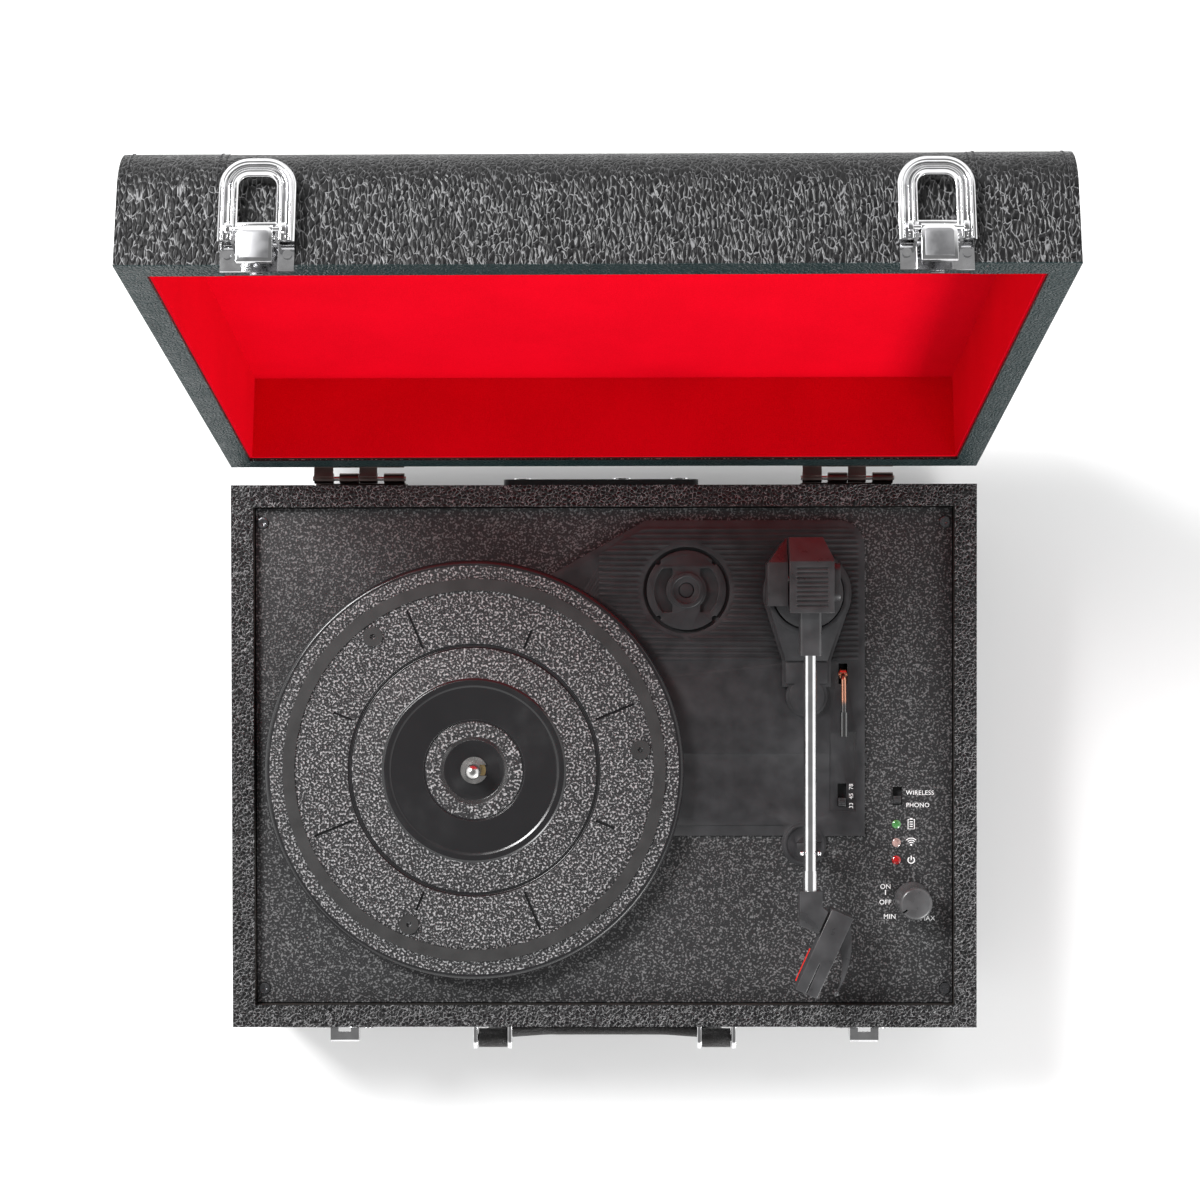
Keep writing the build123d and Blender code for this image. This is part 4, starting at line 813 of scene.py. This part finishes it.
def capsule(shape, a, b, normal):
    """A stitch: a thread that dips into the cover at both ends."""
    side = (b - a).normalized().cross(normal)
    rings = []
    for k in range(THREAD_RINGS):
        t = k / (THREAD_RINGS - 1)
        swell = math.sin(math.pi * (0.12 + 0.76 * t))
        centre = a.lerp(b, t) + normal * THREAD_R * (swell * 1.5 - 0.75)
        radius = THREAD_R * (0.55 + 0.45 * swell)
        ring = []
        for j in range(THREAD_SIDES):
            angle = 2 * math.pi * j / THREAD_SIDES
            out = side * math.cos(angle) + normal * math.sin(angle)
            ring.append(shape.verts.new(centre + out * radius))
        rings.append(ring)
    for low, high in zip(rings, rings[1:]):
        for j in range(THREAD_SIDES):
            following = (j + 1) % THREAD_SIDES
            shape.faces.new((low[j], low[following], high[following], high[j]))
    shape.faces.new(rings[0][::-1])
    shape.faces.new(rings[-1])


def seam(name, xs, path, body, turned):
    """Rows of stitches round the case's section, at each x."""
    shape = bmesh.new()
    travel = [0.0]
    for (a, _), (b, _) in zip(path, path[1:]):
        travel.append(travel[-1] + (b - a).length)
    margin = 3 * MM
    count = int((travel[-1] - 2 * margin) / STITCH_STEP)
    for x in xs:
        index = 0
        for k in range(count):
            start = margin + k * STITCH_STEP
            while travel[index] < start:
                index += 1
            stop = index
            while stop < len(travel) - 1 and travel[stop] < start + STITCH:
                stop += 1
            shift = Vector((x, 0, 0))
            normal = (path[index][1] + path[stop][1]).normalized()
            capsule(shape, path[index][0] + shift, path[stop][0] + shift, normal)
    mesh = mesh_of(name, shape)
    if turned:
        open_lid(mesh)
    mesh.materials.append(THREAD)
    mesh.shade_smooth()
    return finish_piece(bpy.data.objects.new(name, mesh), body)


END_ROW = HALF_W - 3.4 * MM
BAND_ROW = 140.6 * MM
ROWS = (-END_ROW, -BAND_ROW, BAND_ROW, END_ROW)
seam("lid_stitches", ROWS, case_path(RIM_Z + 2 * MM, LID_TOP), "lid", True)
seam("base_stitches", ROWS, case_path(RIM_Z - 2 * MM, CASE_LOW.z), "base", False)


# --- stage, light and camera ------------------------------------------------------------------
SKY_BOTTOM = 0.5
SKY_TOP = 0.2
CAMERA_AT = (0.009777, 0.089855, 1.157148)
CAMERA_LEAN = (-0.8131, 0.6016, -0.102)
CAMERA_LENS = 68.196


def make_floor():
    """Plain white floor, well past the picture's edges."""
    mesh = bpy.data.meshes.new("floor")
    half = 4.0
    corners = [(-half, -half, 0), (half, -half, 0), (half, half, 0), (-half, half, 0)]
    mesh.from_pydata(corners, [], [(0, 1, 2, 3)])
    floor = bpy.data.objects.new("floor", mesh)
    link(floor)
    material, _, _ = new_material("floor_white", (0.90, 0.90, 0.90), 0.9)
    mesh.materials.append(material)


def area_light(name, place_at, aim, size, power):
    """White square light, aimed at a point."""
    data = bpy.data.lights.new(name, "AREA")
    data.size = size
    data.energy = power
    obj = bpy.data.objects.new(name, data)
    link(obj)
    obj.location = place_at
    obj.rotation_euler = (Vector(aim) - Vector(place_at)).to_track_quat("-Z", "Y").to_euler()


def make_camera():
    """Almost straight down, with the slight lean of the original view."""
    camera = bpy.data.cameras.new("camera")
    camera.sensor_width = 36.0
    camera.lens = CAMERA_LENS
    camera.clip_start = 0.01
    obj = bpy.data.objects.new("camera", camera)
    link(obj)
    obj.location = CAMERA_AT
    obj.rotation_euler = [math.radians(angle) for angle in CAMERA_LEAN]
    bpy.context.scene.camera = obj


def make_light():
    """Soft studio: dim overhead, bright at mid height, a key at the rear left and a low front fill."""
    world = bpy.data.worlds.new("studio")
    world.use_nodes = True
    tree = world.node_tree
    direction = add(tree, "TexCoord").outputs["Generated"]
    up = add(tree, "SeparateXYZ", {"Vector": direction}).outputs["Z"]
    ramp = add(tree, "ValToRGB", {"Fac": up})
    ramp.color_ramp.elements[0].color = (SKY_BOTTOM, SKY_BOTTOM, SKY_BOTTOM, 1)
    ramp.color_ramp.elements[1].color = (SKY_TOP, SKY_TOP, SKY_TOP, 1)
    for position, value in ((0.2, 1.5), (0.62, 1.35), (0.82, SKY_TOP)):
        ramp.color_ramp.elements.new(position).color = (value, value, value, 1)
    tree.links.new(ramp.outputs["Color"], tree.nodes["Background"].inputs["Color"])
    bpy.context.scene.world = world
    bpy.context.scene.view_settings.view_transform = "Standard"
    area_light("key", (-1.1, 0.95, 1.5), (0, 0.05, 0.05), 0.6, 46)
    area_light("front_fill", (1.2, -1.5, 0.6), (0, 0.1, 0.15), 0.8, 28)


make_floor()
make_light()
make_camera()
